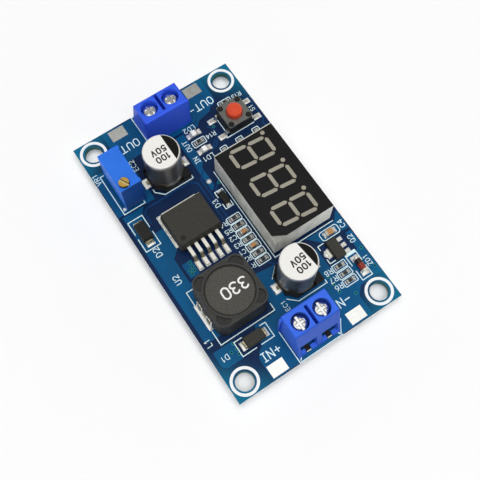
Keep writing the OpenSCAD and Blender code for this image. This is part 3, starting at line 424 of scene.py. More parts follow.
def slotted(name, look, node):
    """Brass screw: gold face, with a painted highlight on the slot's floor and painted shade on its walls."""
    f = Finish(name)
    main, top = ink_of(look.brass), high(node).z
    patches = f.noise(0.4, detail=3.0)
    wall = f.step(abs(f.facing()[2]), 0.8, 0.5)
    floor = f.past(f.z, top, SLOT_FLOOR)
    # Painted highlight on the slot's floor
    tone = f.mix(floor, f.vary(patches, main, 0.6), ink_of(look.slot))
    # Painted shade on the slot's walls
    tone = f.mix(wall, tone, shade(main, 0.15))
    return f.coat(tone, 0.24 + patches * 0.16, metal=0.8).bump(patches, depth=0.02)


def contact_shade_and_glint(name, look, node):
    """Contact metal: painted shade where it lies deep in the housing, a painted glint at its front edge."""
    f = Finish(name)
    reach = max(abs(low(node).x), abs(high(node).x))
    # Painted glint at the contact's front edge
    tip = f.past(abs(f.x), reach, CONTACT_TIP)
    patches = f.noise(0.8, detail=3.0)
    # Painted shade: the dark contact colour deep in the housing
    skin = f.mix(tip, f.vary(patches, ink_of(look.contact), 0.7), ink_of(look.tin))
    return f.coat(skin, 0.34 - tip * 0.14, metal=0.9).bump(patches, depth=0.02)


def printed(name, colour):
    """Screen-printed ink: slightly uneven cover."""
    f = Finish(name)
    cover = f.step(f.noise(0.12), 0.25, 0.6)
    return f.coat(f.vary(cover, ink_of(colour), 0.86), 0.6 + (cover - 0.5) * 0.1).bump(cover, depth=0.01)


# Can's printed cover: depth and distance from the rim where it ends, and the same for its black segment
COVER_DEPTH = (-0.16, -0.12)
COVER_RIM = (-0.12, -0.20)
SEGMENT_EDGE = (0.04, -0.04)
SEGMENT_RIM = (-0.28, -0.34)
# Depths below a can's top and heights over its foot between which painted shade darkens the aluminium
CAN_SHADE_TOP = (-0.35, -1.6)
CAN_SHADE_FOOT = (0.55, 0.75)


def can_skin(name, look, node, tilt, edge):
    """Drawn aluminium can with a white printed top that has a black segment on one side; painted shade on its
    sides, broken by painted highlight streaks.
    """
    f = Finish(name)
    mid, foot, top = middle(node), low(node).z, high(node).z
    radius = (high(node).x - low(node).x) / 2
    dx, dy = f.x - mid.x, f.y - mid.y
    across = dy * math.cos(tilt) - dx * math.sin(tilt)
    reach = f.math("SQRT", dx * dx + dy * dy)
    cover = f.past(f.z, top, COVER_DEPTH) * f.past(reach, radius, COVER_RIM)
    black = f.past(across, -edge, SEGMENT_EDGE) * f.past(reach, radius, SEGMENT_RIM)
    paper = f.mix(black, f.vary(f.noise(1.6, detail=3.0), ink_of(look.can_top), 0.95), ink_of(look.can_mark))
    drawn = f.noise(0.5, detail=3.0, stretch=(1.0, 1.0, 0.06))
    # Painted shade over the can's sides
    shadow = f.past(f.z, top, CAN_SHADE_TOP) * f.past(f.z, foot, CAN_SHADE_FOOT)
    # Painted highlight: streaks where the painted shade lightens
    sheen = f.step(f.noise(2.6, detail=1.0, stretch=(1.0, 1.0, 0.03)), 0.40, 0.58)
    metal = f.vary(drawn, ink_of(look.aluminium), 0.70)
    metal = f.mix(shadow * (0.85 - sheen * 0.55), metal, ink_of(look.can_shadow))
    rough = 0.22 + drawn * 0.18 + cover * 0.22
    f.coat(f.mix(cover, metal, paper), rough, metal=0.6 - cover * 0.6, gloss=0.2)
    return f.bump(drawn * (1.0 - cover), depth=0.02)


# Distances from the glass tube's middle at which its dark band starts
GLASS_BAND = (0.15, 0.3)


def tinted(name, look, node):
    """Tinted glass tube with a dark band on one half."""
    f = Finish(name)
    streak = f.noise(0.35, detail=2.0, stretch=(0.4, 1.0, 1.0))
    band = f.past(f.x + streak * 0.2, middle(node).x, GLASS_BAND)
    skin = f.mix(band, f.vary(streak, ink_of(look.glass), 0.7), ink_of(look.glass_band))
    return f.coat(skin, 0.08 + streak * 0.1).bump(streak, depth=0.01, strength=0.2)


def turned(points, at, c, s):
    """Points turned by the angle of that cosine and sine, and moved to a place."""
    return [(at[0] + x * c - y * s, at[1] + x * s + y * c) for x, y in points]


class Shape:
    """A mesh under construction, in millimetres."""

    # Cosine of a turn below which a bar is split in two, and the least that a corner's reach is divided by
    sharp_turn = 0.1
    mitre_limit = 0.5
    # A path whose ends lie closer than this is closed
    closed_within = 1e-6
    # Round end of a bar: how far its points lie out and to the side, as shares of half the width
    round_end = ((0.92, 0.38), (0.71, 0.71))
    # Neighbouring bars differ in height by this step, over so many heights
    height_step = 0.002
    height_count = 5
    # Flatness of a pillow's crown and steps across it, and steps from a fillet's middle to its side
    pillow_power = 4
    pillow_steps = 8
    fillet_steps = 7

    def __init__(self):
        self.bm = bmesh.new()
        self.bars = 0

    def vert(self, x, y, z):
        return self.bm.verts.new((x * MM, y * MM, z * MM))

    def hoop(self, a, b):
        """Joins two closed rings of points."""
        for i in range(len(a)):
            self.bm.faces.new((a[i - 1], a[i], b[i], b[i - 1]))

    def quilt(self, rows):
        """Joins open rows of points."""
        for r, s in zip(rows, rows[1:]):
            for i in range(len(r) - 1):
                self.bm.faces.new((r[i], s[i], s[i + 1], r[i + 1]))

    def slab(self, outline, bottom, top):
        """Adds an upright slab with that outline."""
        lower = [self.vert(x, y, bottom) for x, y in outline]
        upper = [self.vert(x, y, top) for x, y in outline]
        self.bm.faces.new(upper)
        self.bm.faces.new(lower[::-1])
        self.hoop(lower, upper)

    def strip(self, sections, bottom, top, closed):
        """Adds a flat bar through pairs of left and right points."""
        rings = []
        for left, right in sections:
            corners = ((left, bottom), (left, top), (right, top), (right, bottom))
            rings.append([self.vert(*point, z) for point, z in corners])
        pairs = list(zip(rings, rings[1:]))
        if closed:
            pairs.append((rings[-1], rings[0]))
        else:
            self.bm.faces.new(rings[0])
            self.bm.faces.new(rings[-1][::-1])
        for a, b in pairs:
            self.hoop(a, b)

    def ring(self, centre, inner, outer, bottom, top, count):
        """Adds a flat ring."""
        turns = [Vector((math.cos(t), math.sin(t))) for t in (math.tau * i / count for i in range(count))]
        at = Vector(centre)
        self.strip([(at + inner * t, at + outer * t) for t in turns], bottom, top, True)

    def bar(self, path, width, bottom, top):
        """Adds a flat bar with round ends along a path. A path that ends where it starts is closed.

        Neighbouring bars differ a little in height, so that none lies flush with another."""
        points = [Vector(p) for p in path]
        closed = (points[0] - points[-1]).length < self.closed_within
        for i in range(1, len(points) - 1):
            before, after = points[i] - points[i - 1], points[i + 1] - points[i]
            if before.normalized().dot(after.normalized()) < self.sharp_turn:
                self.bar(points[: i + 1], width, bottom, top)
                self.bar(points[i:], width, bottom, top)
                return
        if closed:
            points.pop()
        half, count = width / 2, len(points)
        sections = []
        for i, point in enumerate(points):
            before = (point - points[i - 1]).normalized() if closed or i else None
            after = (points[(i + 1) % count] - point).normalized() if closed or i < count - 1 else None
            along = ((before or after) + (after or before)).normalized()
            reach = half / max(self.mitre_limit, along.dot(after or before))
            side = Vector((-along.y, along.x)) * reach
            sections.append((point + side, point - side))
        if not closed:
            ends = []
            for point, beyond in ((points[0], points[1]), (points[-1], points[-2])):
                out = (point - beyond).normalized() * half
                side = Vector((-out.y, out.x))
                tips = [(point + out * c, side * s) for c, s in self.round_end]
                ends.append([(tip + away, tip - away) for tip, away in tips])
            start = [(b, a) for a, b in ends[0]]
            sections = start + sections + ends[1][::-1]
        self.bars += 1
        self.strip(sections, bottom, top + self.bars % self.height_count * self.height_step, closed)

    def pillow(self, a, b, bottom, height):
        """Adds a low mound over the rectangle from corner a to corner b."""
        steps, power = self.pillow_steps, self.pillow_power
        shares = [math.sin(math.pi / 2 * (2 * i / steps - 1)) for i in range(steps + 1)]
        grid = []
        for s in shares:
            row = []
            for t in shares:
                rise = height * (1 - abs(s) ** power) * (1 - abs(t) ** power)
                x = (a[0] + b[0] + s * (b[0] - a[0])) / 2
                y = (a[1] + b[1] + t * (b[1] - a[1])) / 2
                row.append(self.vert(x, y, bottom + rise))
            grid.append(row)
        self.quilt(grid)
        rim = grid[0] + [row[-1] for row in grid[1:]] + grid[-1][-2::-1] + [row[0] for row in grid[-2:0:-1]]
        self.bm.faces.new(rim)

    def dome(self, centre, radius, bottom, height, steps=6, count=20):
        """Adds a round mound."""
        x, y = centre[0], centre[1]
        turns = [(math.cos(t), math.sin(t)) for t in (math.tau * k / count for k in range(count))]
        rings = []
        for i in range(steps):
            lean = math.pi / 2 * i / steps
            r, z = radius * math.cos(lean), bottom + height * math.sin(lean)
            rings.append([self.vert(x + r * c, y + r * s, z) for c, s in turns])
        crown = self.vert(x, y, bottom + height)
        for r, s in zip(rings, rings[1:]):
            self.hoop(r, s)
        for i in range(count):
            self.bm.faces.new((rings[-1][i - 1], rings[-1][i], crown))
        self.bm.faces.new(rings[0])

    def wedge(self, face, out, run, near, far, bottom, height, steps=6, blunt=4):
        """Adds a hollow-faced solder fillet that leans on a face and runs out over its pad."""
        side = Vector((-out.y, out.x))
        rows = []
        for i in range(steps + 1):
            t = i / steps
            half = near + (far - near) * t
            rise = height * (1 - t) ** 2
            row = []
            for k in range(2 * self.fillet_steps + 1):
                s = k / self.fillet_steps - 1
                at = face + out * (run * t) + side * (half * s)
                row.append(self.vert(at.x, at.y, bottom + rise * (1 - s**blunt)))
            rows.append(row)
        self.quilt(rows)
        self.bm.faces.new(rows[0])
        self.bm.faces.new([r[0] for r in rows] + rows[-1][1:] + [r[-1] for r in rows[-2::-1]])

    def words(self, text, at, size, turn, stroke, bottom, top, gap=0.30):
        """Adds lettering about a point, turned in degrees, with gaps as a share of its height."""
        c, s = math.cos(math.radians(turn)), math.sin(math.radians(turn))
        length = sum(GLYPHS[letter][0] for letter in text) + gap * (len(text) - 1)
        start = -length / 2
        for letter in text:
            width, strokes = GLYPHS[letter]
            for path in strokes:
                local = [((start + x) * size, (y - 0.5) * size) for x, y in path]
                self.bar(turned(local, at, c, s), stroke, bottom, top)
            start += width + gap

    def object(self, name, material, smooth=False):
        """Makes the mesh an object."""
        bmesh.ops.recalc_face_normals(self.bm, faces=self.bm.faces)
        for face in self.bm.faces:
            face.smooth = smooth
        mesh = bpy.data.meshes.new(name)
        self.bm.to_mesh(mesh)
        self.bm.free()
        mesh.materials.append(material)
        obj = bpy.data.objects.new(name, mesh)
        bpy.context.scene.collection.objects.link(obj)
        return obj

    def piece(self, name, material, slot=None, smooth=False):
        """Makes the mesh an object that rides on the board."""
        obj = self.object(name, material, smooth)
        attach(obj, "board")


# Degrees from point to point of an arc, and the least number of its steps
ARC_STEP = 22
ARC_LEAST = 4


def arc(x, y, rx, ry, start, end):
    """Points along part of an ellipse, angles in degrees."""
    count = max(ARC_LEAST, round(abs(end - start) / ARC_STEP))
    angles = [math.radians(start + (end - start) * i / count) for i in range(count + 1)]
    return [(x + rx * math.cos(t), y + ry * math.sin(t)) for t in angles]


def round_box(a, b, radius):
    """A closed path round the rectangle from corner a to corner b."""
    corners = ((b[0], b[1], 0), (a[0], b[1], 90), (a[0], a[1], 180), (b[0], a[1], 270))
    path = []
    for x, y, turn in corners:
        cx = x - radius if x == b[0] else x + radius
        cy = y - radius if y == b[1] else y + radius
        path += arc(cx, cy, radius, radius, turn, turn + 90)
    return path + path[:1]


# Strokes that several letters share, in a box one unit high
STEM = [(0.0, 0.0), (0.0, 1.0)]
LOW_LOOP = arc(0.31, 0.31, 0.31, 0.31, 0, 360)
HIGH_LOOP = arc(0.31, 0.69, 0.31, 0.31, 0, 360)
OVAL = arc(0.31, 0.69, 0.31, 0.31, 0, 180) + arc(0.31, 0.31, 0.31, 0.31, 180, 360) + [(0.62, 0.69)]
# Letters: width, then the paths of their strokes
GLYPHS = {
    "0": (0.62, [OVAL]),
    "1": (0.36, [[(0.06, 0.78), (0.30, 1.0), (0.30, 0.0)]]),
    "2": (0.62, [arc(0.31, 0.69, 0.31, 0.31, 170, -35) + [(0.02, 0.0), (0.62, 0.0)]]),
    "3": (0.62, [arc(0.30, 0.75, 0.27, 0.25, 150, -90), arc(0.30, 0.25, 0.32, 0.25, 90, -150)]),
    "4": (0.66, [[(0.50, 0.0), (0.50, 1.0), (0.0, 0.30), (0.66, 0.30)]]),
    "5": (0.62, [[(0.58, 1.0), (0.10, 1.0), (0.06, 0.55)], arc(0.29, 0.32, 0.33, 0.32, 135, -150)]),
    "6": (0.62, [LOW_LOOP, [(0.0, 0.34), (0.05, 0.62), (0.20, 0.84), (0.50, 1.0)]]),
    "7": (0.60, [[(0.0, 1.0), (0.60, 1.0), (0.20, 0.0)]]),
    "8": (0.62, [arc(0.31, 0.76, 0.25, 0.24, 0, 360), arc(0.31, 0.26, 0.31, 0.26, 0, 360)]),
    "9": (0.62, [HIGH_LOOP, [(0.62, 0.66), (0.57, 0.38), (0.42, 0.16), (0.12, 0.0)]]),
    "C": (0.62, [arc(0.36, 0.5, 0.36, 0.5, 48, 312)]),
    "D": (0.64, [STEM + arc(0.24, 0.5, 0.40, 0.5, 90, -90) + STEM[:1]]),
    "E": (0.55, [[(0.55, 1.0), (0.0, 1.0), (0.0, 0.0), (0.55, 0.0)], [(0.0, 0.52), (0.45, 0.52)]]),
    "I": (0.40, [[(0.0, 0.0), (0.40, 0.0)], [(0.20, 0.0), (0.20, 1.0)], [(0.0, 1.0), (0.40, 1.0)]]),
    "L": (0.50, [[(0.0, 1.0), (0.0, 0.0), (0.50, 0.0)]]),
    "N": (0.62, [[(0.0, 0.0), (0.0, 1.0), (0.62, 0.0), (0.62, 1.0)]]),
    "O": (0.62, [OVAL]),
    "Q": (0.64, [OVAL, [(0.42, 0.22), (0.68, -0.06)]]),
    "R": (0.60, [STEM + arc(0.34, 0.75, 0.26, 0.25, 90, -90) + [(0.0, 0.5)], [(0.30, 0.5), (0.60, 0.0)]]),
    "S": (0.60, [arc(0.30, 0.75, 0.28, 0.25, 30, 270), arc(0.30, 0.25, 0.30, 0.25, 90, -150)]),
    "T": (0.66, [[(0.0, 1.0), (0.66, 1.0)], [(0.33, 1.0), (0.33, 0.0)]]),
    "U": (0.62, [[(0.0, 1.0)] + arc(0.31, 0.31, 0.31, 0.31, 180, 360) + [(0.62, 1.0)]]),
    "V": (0.62, [[(0.0, 1.0), (0.31, 0.0), (0.62, 1.0)]]),
    "Z": (0.60, [[(0.0, 1.0), (0.60, 1.0), (0.0, 0.0), (0.60, 0.0)]]),
    "+": (0.60, [[(0.0, 0.5), (0.60, 0.5)], [(0.30, 0.2), (0.30, 0.8)]]),
    "-": (0.60, [[(0.0, 0.5), (0.60, 0.5)]]),
}

# Copper areas under the lacquer, as outlines on the board's top
POURS = (
    ((-25.75, 14.3), (-21.6, 14.3), (-21.6, 18.9), (-24.9, 18.9), (-25.75, 18.05)),
    (
        (-19.35, 8.0), (-7.9, 8.0), (-6.7, 14.8), (-0.5, 14.8), (0.9, 13.2), (6.6, 13.2),
        (6.6, 15.4), (11.5, 15.4), (13.3, 13.9), (13.3, 19.1), (-18.6, 19.1), (-19.35, 18.35),
    ),
    ((-6.1, 11.9), (-2.5, 11.9), (-2.5, 14.2), (-6.1, 14.2)),
    (
        (-32.8, 11.8), (-32.8, -12.7), (-28.3, -12.7), (-26.6, -14.3), (-26.6, -19.8), (-15.6, -19.8),
        (-15.6, -18.4), (-19.8, -18.4), (-19.8, -11.2), (-15.3, -11.2), (-13.0, -8.9), (-13.0, -0.4),
        (-12.4, 3.6), (-21.5, 3.6), (-21.5, 8.8), (-25.8, 9.9), (-26.6, 11.1), (-27.8, 11.8),
    ),
    (
        (-14.7, -13.0), (-12.2, -10.6), (-12.2, -17.9), (-10.4, -19.5), (-10.4, -19.8), (-14.9, -19.8),
        (-14.9, -18.6), (-14.7, -18.2),
    ),
    (
        (13.9, -0.2), (23.0, -0.2), (23.0, -2.3), (14.9, -2.3), (13.9, -1.4), (9.0, -1.4),
        (8.2, -0.6), (8.2, -0.2),
    ),
    (
        (13.4, 11.0), (24.0, 11.0), (24.4, 2.0), (23.6, 1.0), (23.6, -2.0), (22.8, -5.9),
        (23.9, -7.0), (24.6, -10.2), (25.6, -11.2), (25.6, -11.9), (26.6, -12.9), (32.8, -12.9),
        (32.8, 12.9), (26.6, 12.9), (25.0, 14.5), (25.0, 19.8), (13.8, 19.8), (13.8, 13.6), (13.4, 13.2),
    ),
)
# Copper areas on the underside
UNDER_POURS = (
    (
        (-32.8, 12.6), (-26.8, 12.6), (-25.6, 13.8), (-25.6, 19.6), (-3.0, 19.6), (-1.6, 18.2),
        (-1.6, -2.2), (-3.0, -3.6), (-14.0, -3.6), (-15.4, -5.0), (-15.4, -18.2), (-16.8, -19.6),
        (-25.6, -19.6), (-25.6, -13.8), (-26.8, -12.6), (-32.8, -12.6),
    ),
    (
        (32.8, 12.6), (26.8, 12.6), (25.6, 13.8), (25.6, 19.6), (0.2, 19.6), (-0.8, 18.6),
        (-0.8, 0.4), (0.2, -0.6), (14.2, -0.6), (15.6, -2.0), (15.6, -18.2), (17.0, -19.6),
        (25.6, -19.6), (25.6, -13.8), (26.8, -12.6), (32.8, -12.6),
    ),
)
# Raised tracks on the underside and on the top, as paths
UNDER_TRACKS = (
    ((-6.35, -5.1), (-6.35, -7.4), (-3.8, -9.9), (-3.8, -15.3)),
    ((-1.27, -5.1), (1.27, -7.6), (1.27, -15.3)),
    ((3.81, -5.1), (6.35, -7.6), (6.35, -15.3)),
    ((-3.81, -5.1), (-1.27, -7.6), (-1.27, -15.3)),
    ((6.35, -5.1), (9.6, -8.3), (9.6, -17.0), (8.2, -18.4), (-8.0, -18.4), (-12.6, -13.8)),
)
TRACKS = (
    ((-0.5, 1.35), (11.2, 1.35), (12.45, 2.6), (12.45, 13.6), (11.5, 14.6), (8.8, 14.6)),
    ((-0.5, 0.35), (11.6, 0.35), (13.2, -1.2)),
    ((7.7, -0.9), (9.6, -2.7)),
    ((16.4, -6.6), (18.3, -8.5), (20.8, -8.5), (21.6, -7.7)),
    ((16.1, -5.6), (18.0, -7.4)),
    ((22.9, -3.2), (24.0, -4.3), (24.0, -6.4)),
    ((-13.0, -2.2), (-11.5, -0.7)),
    ((13.9, -18.7), (15.6, -18.7), (16.6, -19.3), (23.0, -19.3)),
)
# Vias, by their middles
VIAS = (
    (-27.4, -12.4), (-24.8, -19.2), (-20.1, -19.2), (-23.5, 15.65), (-24.6, 14.5), (-23.5, 14.4),
    (-22.2, 14.4), (-5.25, 13.35), (-4.4, 13.35), (-4.85, 12.55), (-4.0, 12.55), (-3.0, 12.55),
    (-25.3, -9.8), (-23.4, -9.8), (-21.5, -9.8), (8.9, -2.5), (20.9, -8.9), (24.9, -3.0),
)

# Mounds of solder on the board's top: place, radius, height
MOUNDS = (
    (-17.4, -12.3, 0.72, 0.34), (-17.95, -12.95, 0.55, 0.28), (-16.85, -12.95, 0.55, 0.28),
    (14.8, 17.6, 0.42, 0.25), (-13.7, -14.55, 0.50, 0.35),
)

# Printed lines on the board's top
LINES = (
    ((-32.85, 5.4), (-25.3, 5.4)),
    ((-32.85, 5.4), (-32.85, -5.1)),
    ((-32.5, 5.0), (-31.4, 4.0)),
    ((-32.5, -4.8), (-31.4, -3.8)),
    ((-32.5, -4.9), (-31.0, -5.9), (-30.0, -6.6)),
    ((25.5, 5.25), (32.85, 5.25), (32.85, 4.4)),
    ((-25.5, 10.9), (-25.5, 14.2), (-22.1, 14.2), (-22.1, 12.3)),
    ((-25.5, 9.7), (-25.5, 6.6), (-22.1, 6.6), (-22.1, 7.9)),
    ((7.3, 18.8), (4.0, 18.8), (4.0, 15.3), (7.3, 15.3)),
    ((8.5, 18.8), (11.65, 18.8), (11.65, 15.3), (8.5, 15.3)),
    ((-17.8, 16.6), (-21.1, 16.6), (-21.1, 3.5), (-19.5, 3.5)),
    ((-11.3, 16.6), (-8.1, 16.6), (-8.1, 14.8)),
    ((-20.6, 0.15), (-22.3, -1.7), (-22.3, -8.8), (-21.6, -8.8)),
    ((-15.4, 0.2), (-13.5, -1.8)),
    ((15.3, 10.25), (14.6, 10.25), (12.95, 8.6), (12.95, 1.5), (14.2, 1.5)),
    ((14.2, 13.2), (13.75, 13.2), (13.75, 18.3), (24.15, 18.3), (24.15, 17.5)),
    ((4.2, -0.4), (2.9, -0.4), (2.9, -2.3), (4.2, -2.3)),
    ((6.0, -0.4), (7.4, -0.4), (7.4, -2.3), (6.0, -2.3)),
    ((-19.4, -13.1), (-19.4, -11.7), (-18.3, -11.7)),
    ((-15.9, -11.7), (-14.95, -11.7), (-14.95, -13.1)),
    ((-23.7, -15.25), (-26.0, -15.25), (-26.0, -17.75), (-23.7, -17.75)),
    ((-22.3, -15.25), (-19.6, -15.25), (-19.6, -17.75), (-22.3, -17.75)),
    ((11.6, -2.95), (-11.85, -2.95), (-11.85, -17.8)),
    ((16.85, -9.9), (16.85, -17.0)),
    ((18.3, -10.5), (21.8, -10.5)),
)
# Words of the row of chips over the display, with the first one's place and their pitch
ROW_WORDS = ("R1", "R2", "C1", "R3", "C2", "R5", "R4")
ROW_X = -10.8
ROW_Y = 2.0
ROW_PITCH = 1.82
# Printed words: text, place, height of the letters, turn in degrees
WORDS = (
    ("L1", -19.5, 18.6, 1.15, 0), ("U2", -4.7, 16.7, 1.25, 0), ("D2", 2.7, 16.9, 1.3, 0),
    ("VR1", 23.9, 19.2, 1.1, 0), ("EC2", 22.5, 10.8, 1.1, 0), ("EC1", -21.7, 1.2, 0.95, 0),
    ("D3", 5.1, 0.6, 1.1, 0), ("IN", 16.0, -1.4, 1.1, 0),
    ("OUT", 20.0, -1.4, 1.1, 0), ("ZD1", -23.1, -18.7, 1.0, 0), ("Q2", -17.3, -18.7, 1.1, 0),
    ("C4", -13.4, -18.9, 1.1, 0), ("S1", 20.0, -18.6, 1.0, 0), ("D1", -23.8, 17.3, 1.1, 90),
    ("OUT+", 27.1, 9.8, 1.75, 90), ("OUT-", 26.9, -9.4, 1.75, 90), ("LD1", 15.2, -4.0, 1.1, 90),
    ("LD2", 23.3, -4.0, 1.1, 90), ("R14", 19.5, -7.3, 1.0, 90), ("R13", 24.7, -17.5, 1.0, 90),
    ("R6", -24.5, -10.3, 1.1, 90), ("R7", -22.6, -10.3, 1.1, 90), ("R8", -20.8, -10.3, 1.1, 90),
    *[(text, ROW_X + ROW_PITCH * i, ROW_Y, 1.0, 90) for i, text in enumerate(ROW_WORDS)],
    ("IN+", -28.0, 9.1, 1.8, -90), ("IN-", -27.4, -8.7, 1.8, -90), ("R9", 13.75, -9.95, 1.0, 90),
    ("R10", 13.75, -14.1, 1.0, 90), ("R11", 13.75, -18.1, 1.0, 90),
)


def colour(name, description, default):
    """A display colour that a user can change, given in steps of 255."""
    return FloatVectorProperty(
        name=name,
        description=description,
        default=[value / 255 for value in default],
        subtype="COLOR_GAMMA",
        size=3,
        min=0.0,
        max=1.0,
    )


def amount(name, description, default, **kind):
    """A number that a user can change."""
    return FloatProperty(name=name, description=description, default=default, **kind)


def length(name, description, default):
    """A size in millimetres that a user can change."""
    return amount(name, description, default, min=0.0, subtype="DISTANCE", unit="NONE")


class BoardLook(bpy.types.PropertyGroup):
    """Colours and relief of the board and its legend."""

    mask_colour: colour("Lacquer", "Lacquer over bare laminate", (12, 38, 76))
    pour_colour: colour("Lacquer on copper", "Lacquer over copper areas", (6, 82, 128))
    track_colour: colour("Lacquer on tracks", "Lacquer over narrow tracks", (10, 60, 112))
    # Painted light: greener lacquer at the board's corners
    corner_light_colour: colour("Corners", "Greener lacquer at the board's corners", (10, 112, 148))
    edge_colour: colour("Cut edge", "Laminate at the board's cut edges", (248, 250, 250))
    # Painted shade: the laminate inside the mounting holes, darker than the cut edges
    hole_wall_shade: colour("Hole wall", "Laminate in the mounting holes", (66, 118, 116))
    legend_colour: colour("Legend", "Printed rings round the mounting holes", (250, 252, 252))
    thin_legend: colour("Thin legend", "Printed lines and letters, with some blue in them", (230, 253, 255))
    tin_colour: colour("Tinning", "Tinned pads", (250, 250, 246))
    solder_colour: colour("Solder", "Solder on the pads", (252, 252, 246))
    dull_solder: colour("Chip solder", "Solder at the ends of the chip parts", (186, 184, 176))
    clip_solder: colour("Clip solder", "Thick solder at the foot of a clip", (255, 254, 248))
    # Painted reflection: the dark olive inside the solder loops on the clips
    loop_reflection_colour: colour("Thin solder", "Solder where it is drawn up a clip", (112, 107, 88))
    via_colour: colour("Via rings", "Lacquer over the rings of the vias", (34, 130, 140))
    pour_height: length("Copper relief", "Rise of the copper areas in millimetres", 0.03)
    legend_height: length("Legend height", "Top of the print above the board in millimetres", 0.05)
    line_width: length("Line width", "Width of printed lines in millimetres", 0.20)
    track_width: length("Track width", "Width of raised tracks in millimetres", 0.32)
    via_diameter: length("Via diameter", "Diameter of a via's ring in millimetres", 0.78)
    hole_ring: length("Hole ring", "Outer diameter of the ring round a mounting hole in millimetres", 6.05)
    hole_x: length("Hole reach along", "Distance of the holes from the board's middle along it", 29.75)
    hole_y: length("Hole reach across", "Distance of the holes from the board's middle across it", 16.65)


class PartLook(bpy.types.PropertyGroup):
    """Colours of the parts on the board, and sizes of the inductor's ring."""

    terminal: colour("Input terminal", "Moulded housing of the input terminal block", (62, 108, 228))
    output_terminal: colour("Output terminal", "Moulded housing of the output terminal block", (56, 94, 224))
    trimmer: colour("Trimmer", "Moulded trimmer housing", (44, 114, 224))
    brass: colour("Brass", "Trimmer screw and wire guards", (246, 196, 96))
    # Painted highlight: the floor of the trimmer screw's slot
    slot: colour("Slot", "Floor of the trimmer screw's slot", (255, 236, 160))
    steel: colour("Screw steel", "Terminal screws and the push button's dome", (250, 250, 246))
    # Painted shade: the dark tone of the contacts deep in the housings
    contact: colour("Contacts", "Contact loops in the terminal blocks", (62, 60, 58))
    aluminium: colour("Aluminium", "Capacitor cans", (196, 194, 190))
    # Painted shade: the darker tone of the cans' sides
    can_shadow: colour("Can foot", "Duller aluminium towards the foot of a can", (78, 76, 66))
    can_top: colour("Capacitor top", "Printed cover of the cans", (240, 239, 234))
    can_mark: colour("Capacitor mark", "Black segment and letters", (18, 17, 17))
    mould: colour("Moulding compound", "Regulator, input diode, three-lead part and controller", (60, 59, 54))
    dark_mould: colour("Dark compound", "Output and signal diodes", (38, 39, 36))
    ferrite: colour("Ferrite drum", "Drum in the middle of the inductor", (80, 78, 73))
    ring: colour("Ferrite ring", "Square ring round the inductor", (64, 65, 63))
    ring_inside: length("Ring's inside", "Inductor ring's width between its rims in millimetres", 11.2)
    ring_bore: length("Ring's bore", "Diameter of the inductor ring's bore in millimetres", 10.4)
    pocket_round: length("Pocket radius", "Radius of the pockets in the ring's corners in millimetres", 1.5)
    shell: colour("Display shell", "Display housing", (252, 251, 240))
    # Painted shade: the darker tone of the shell's upward faces
    shell_top_shade: colour("Shell top", "Display shell seen from above", (146, 146, 138))
    face: colour("Display face", "Dark film round the segments", (18, 17, 18))
    segment: colour("Segments", "Unlit segments", (156, 152, 138))
    cover: colour("Switch cover", "Push button's sheet cover", (150, 152, 146))
    plunger: colour("Plunger", "Push button's plunger", (216, 78, 48))
    tan: colour("Chip capacitor", "Fired ceramic of chip capacitors", (184, 136, 88))
    lamp: colour("Lamp", "Milky lamp resin", (250, 251, 244))
    glass: colour("Diode glass", "Tinted glass", (150, 52, 34))
    glass_band: colour("Diode band", "Dark band on the glass", (44, 22, 20))
    tin: colour("Tin", "Leads, pins and clips", (248, 246, 234))
    old_tin: colour("Dull tin", "Tinned leads with patches of bare metal", (206, 196, 164))
    # Painted reflection: the dull olive of leads where they slope
    bend: colour("Bends", "Tinned leads where they slope", (134, 128, 98))
    cap_tin: colour("End cap tin", "End caps of the chip parts", (212, 210, 200))


class StageLook(bpy.types.PropertyGroup):
    """Camera, lamp, sky and floor."""

    azimuth: amount("Azimuth", "Camera's turn round the part", math.radians(-123.70), subtype="ANGLE")
    elevation: amount("Elevation", "Camera's height over the horizon", math.radians(70.68), subtype="ANGLE")
    distance: amount("Distance", "Camera's distance in metres", 0.160107, unit="LENGTH")
    lens: amount("Lens", "Focal length in millimetres", 57.007, unit="CAMERA")
    target: FloatVectorProperty(
        name="Target",
        description="Point that the camera looks at",
        default=(-0.00458, 0.001007, 0.0016),
        subtype="TRANSLATION",
    )
    sky_edge: amount("Backdrop", "Strength of the light round the floor", 0.9, min=0.0)
    sky_low: amount("Low sky", "Strength of the light near the horizon", 0.28, min=0.0)
    sky_high: amount("High sky", "Strength of the light overhead", 1.12, min=0.0)
    key_power: amount("Key lamp", "Power of the large lamp", 14.2, min=0.0, unit="POWER")
    key_size: amount("Key size", "Side of the large lamp in metres", 1.08, unit="LENGTH")
    floor: colour("Floor", "Floor under the module", (252, 252, 252))


# Faces that meet within the first angle are one flat face, and an edge of more than the second is broken
FLAT_ANGLE = math.radians(0.5)
EDGE_ANGLE = math.radians(35)
EDGE_STEPS = 2


def paint(material, *nodes, bevel=0.0):
    """Gives CAD nodes a finish and, where asked, softly broken edges of that width in millimetres."""
    for node in nodes:
        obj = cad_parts[node]
        for place in obj.material_slots:
            place.material = material
        if not bevel:
            continue
        weld = obj.modifiers.new("weld", "WELD")
        weld.merge_threshold = WELD_DISTANCE
        flat = obj.modifiers.new("flat_faces", "DECIMATE")
        flat.decimate_type = "DISSOLVE"
        flat.angle_limit = FLAT_ANGLE
        edge = obj.modifiers.new("broken_edges", "BEVEL")
        edge.width = bevel * MM
        edge.segments = EDGE_STEPS
        edge.limit_method = "ANGLE"
        edge.angle_limit = EDGE_ANGLE


# Rise over the copper of tracks on the top and the underside, of via rings and of the dark domes of painted
# shade over the vias' bores
TRACK_RISE = 0.004
UNDER_TRACK_RISE = 0.02
VIA_RISE = 0.014
BORE_SHADE_RISE = 0.012
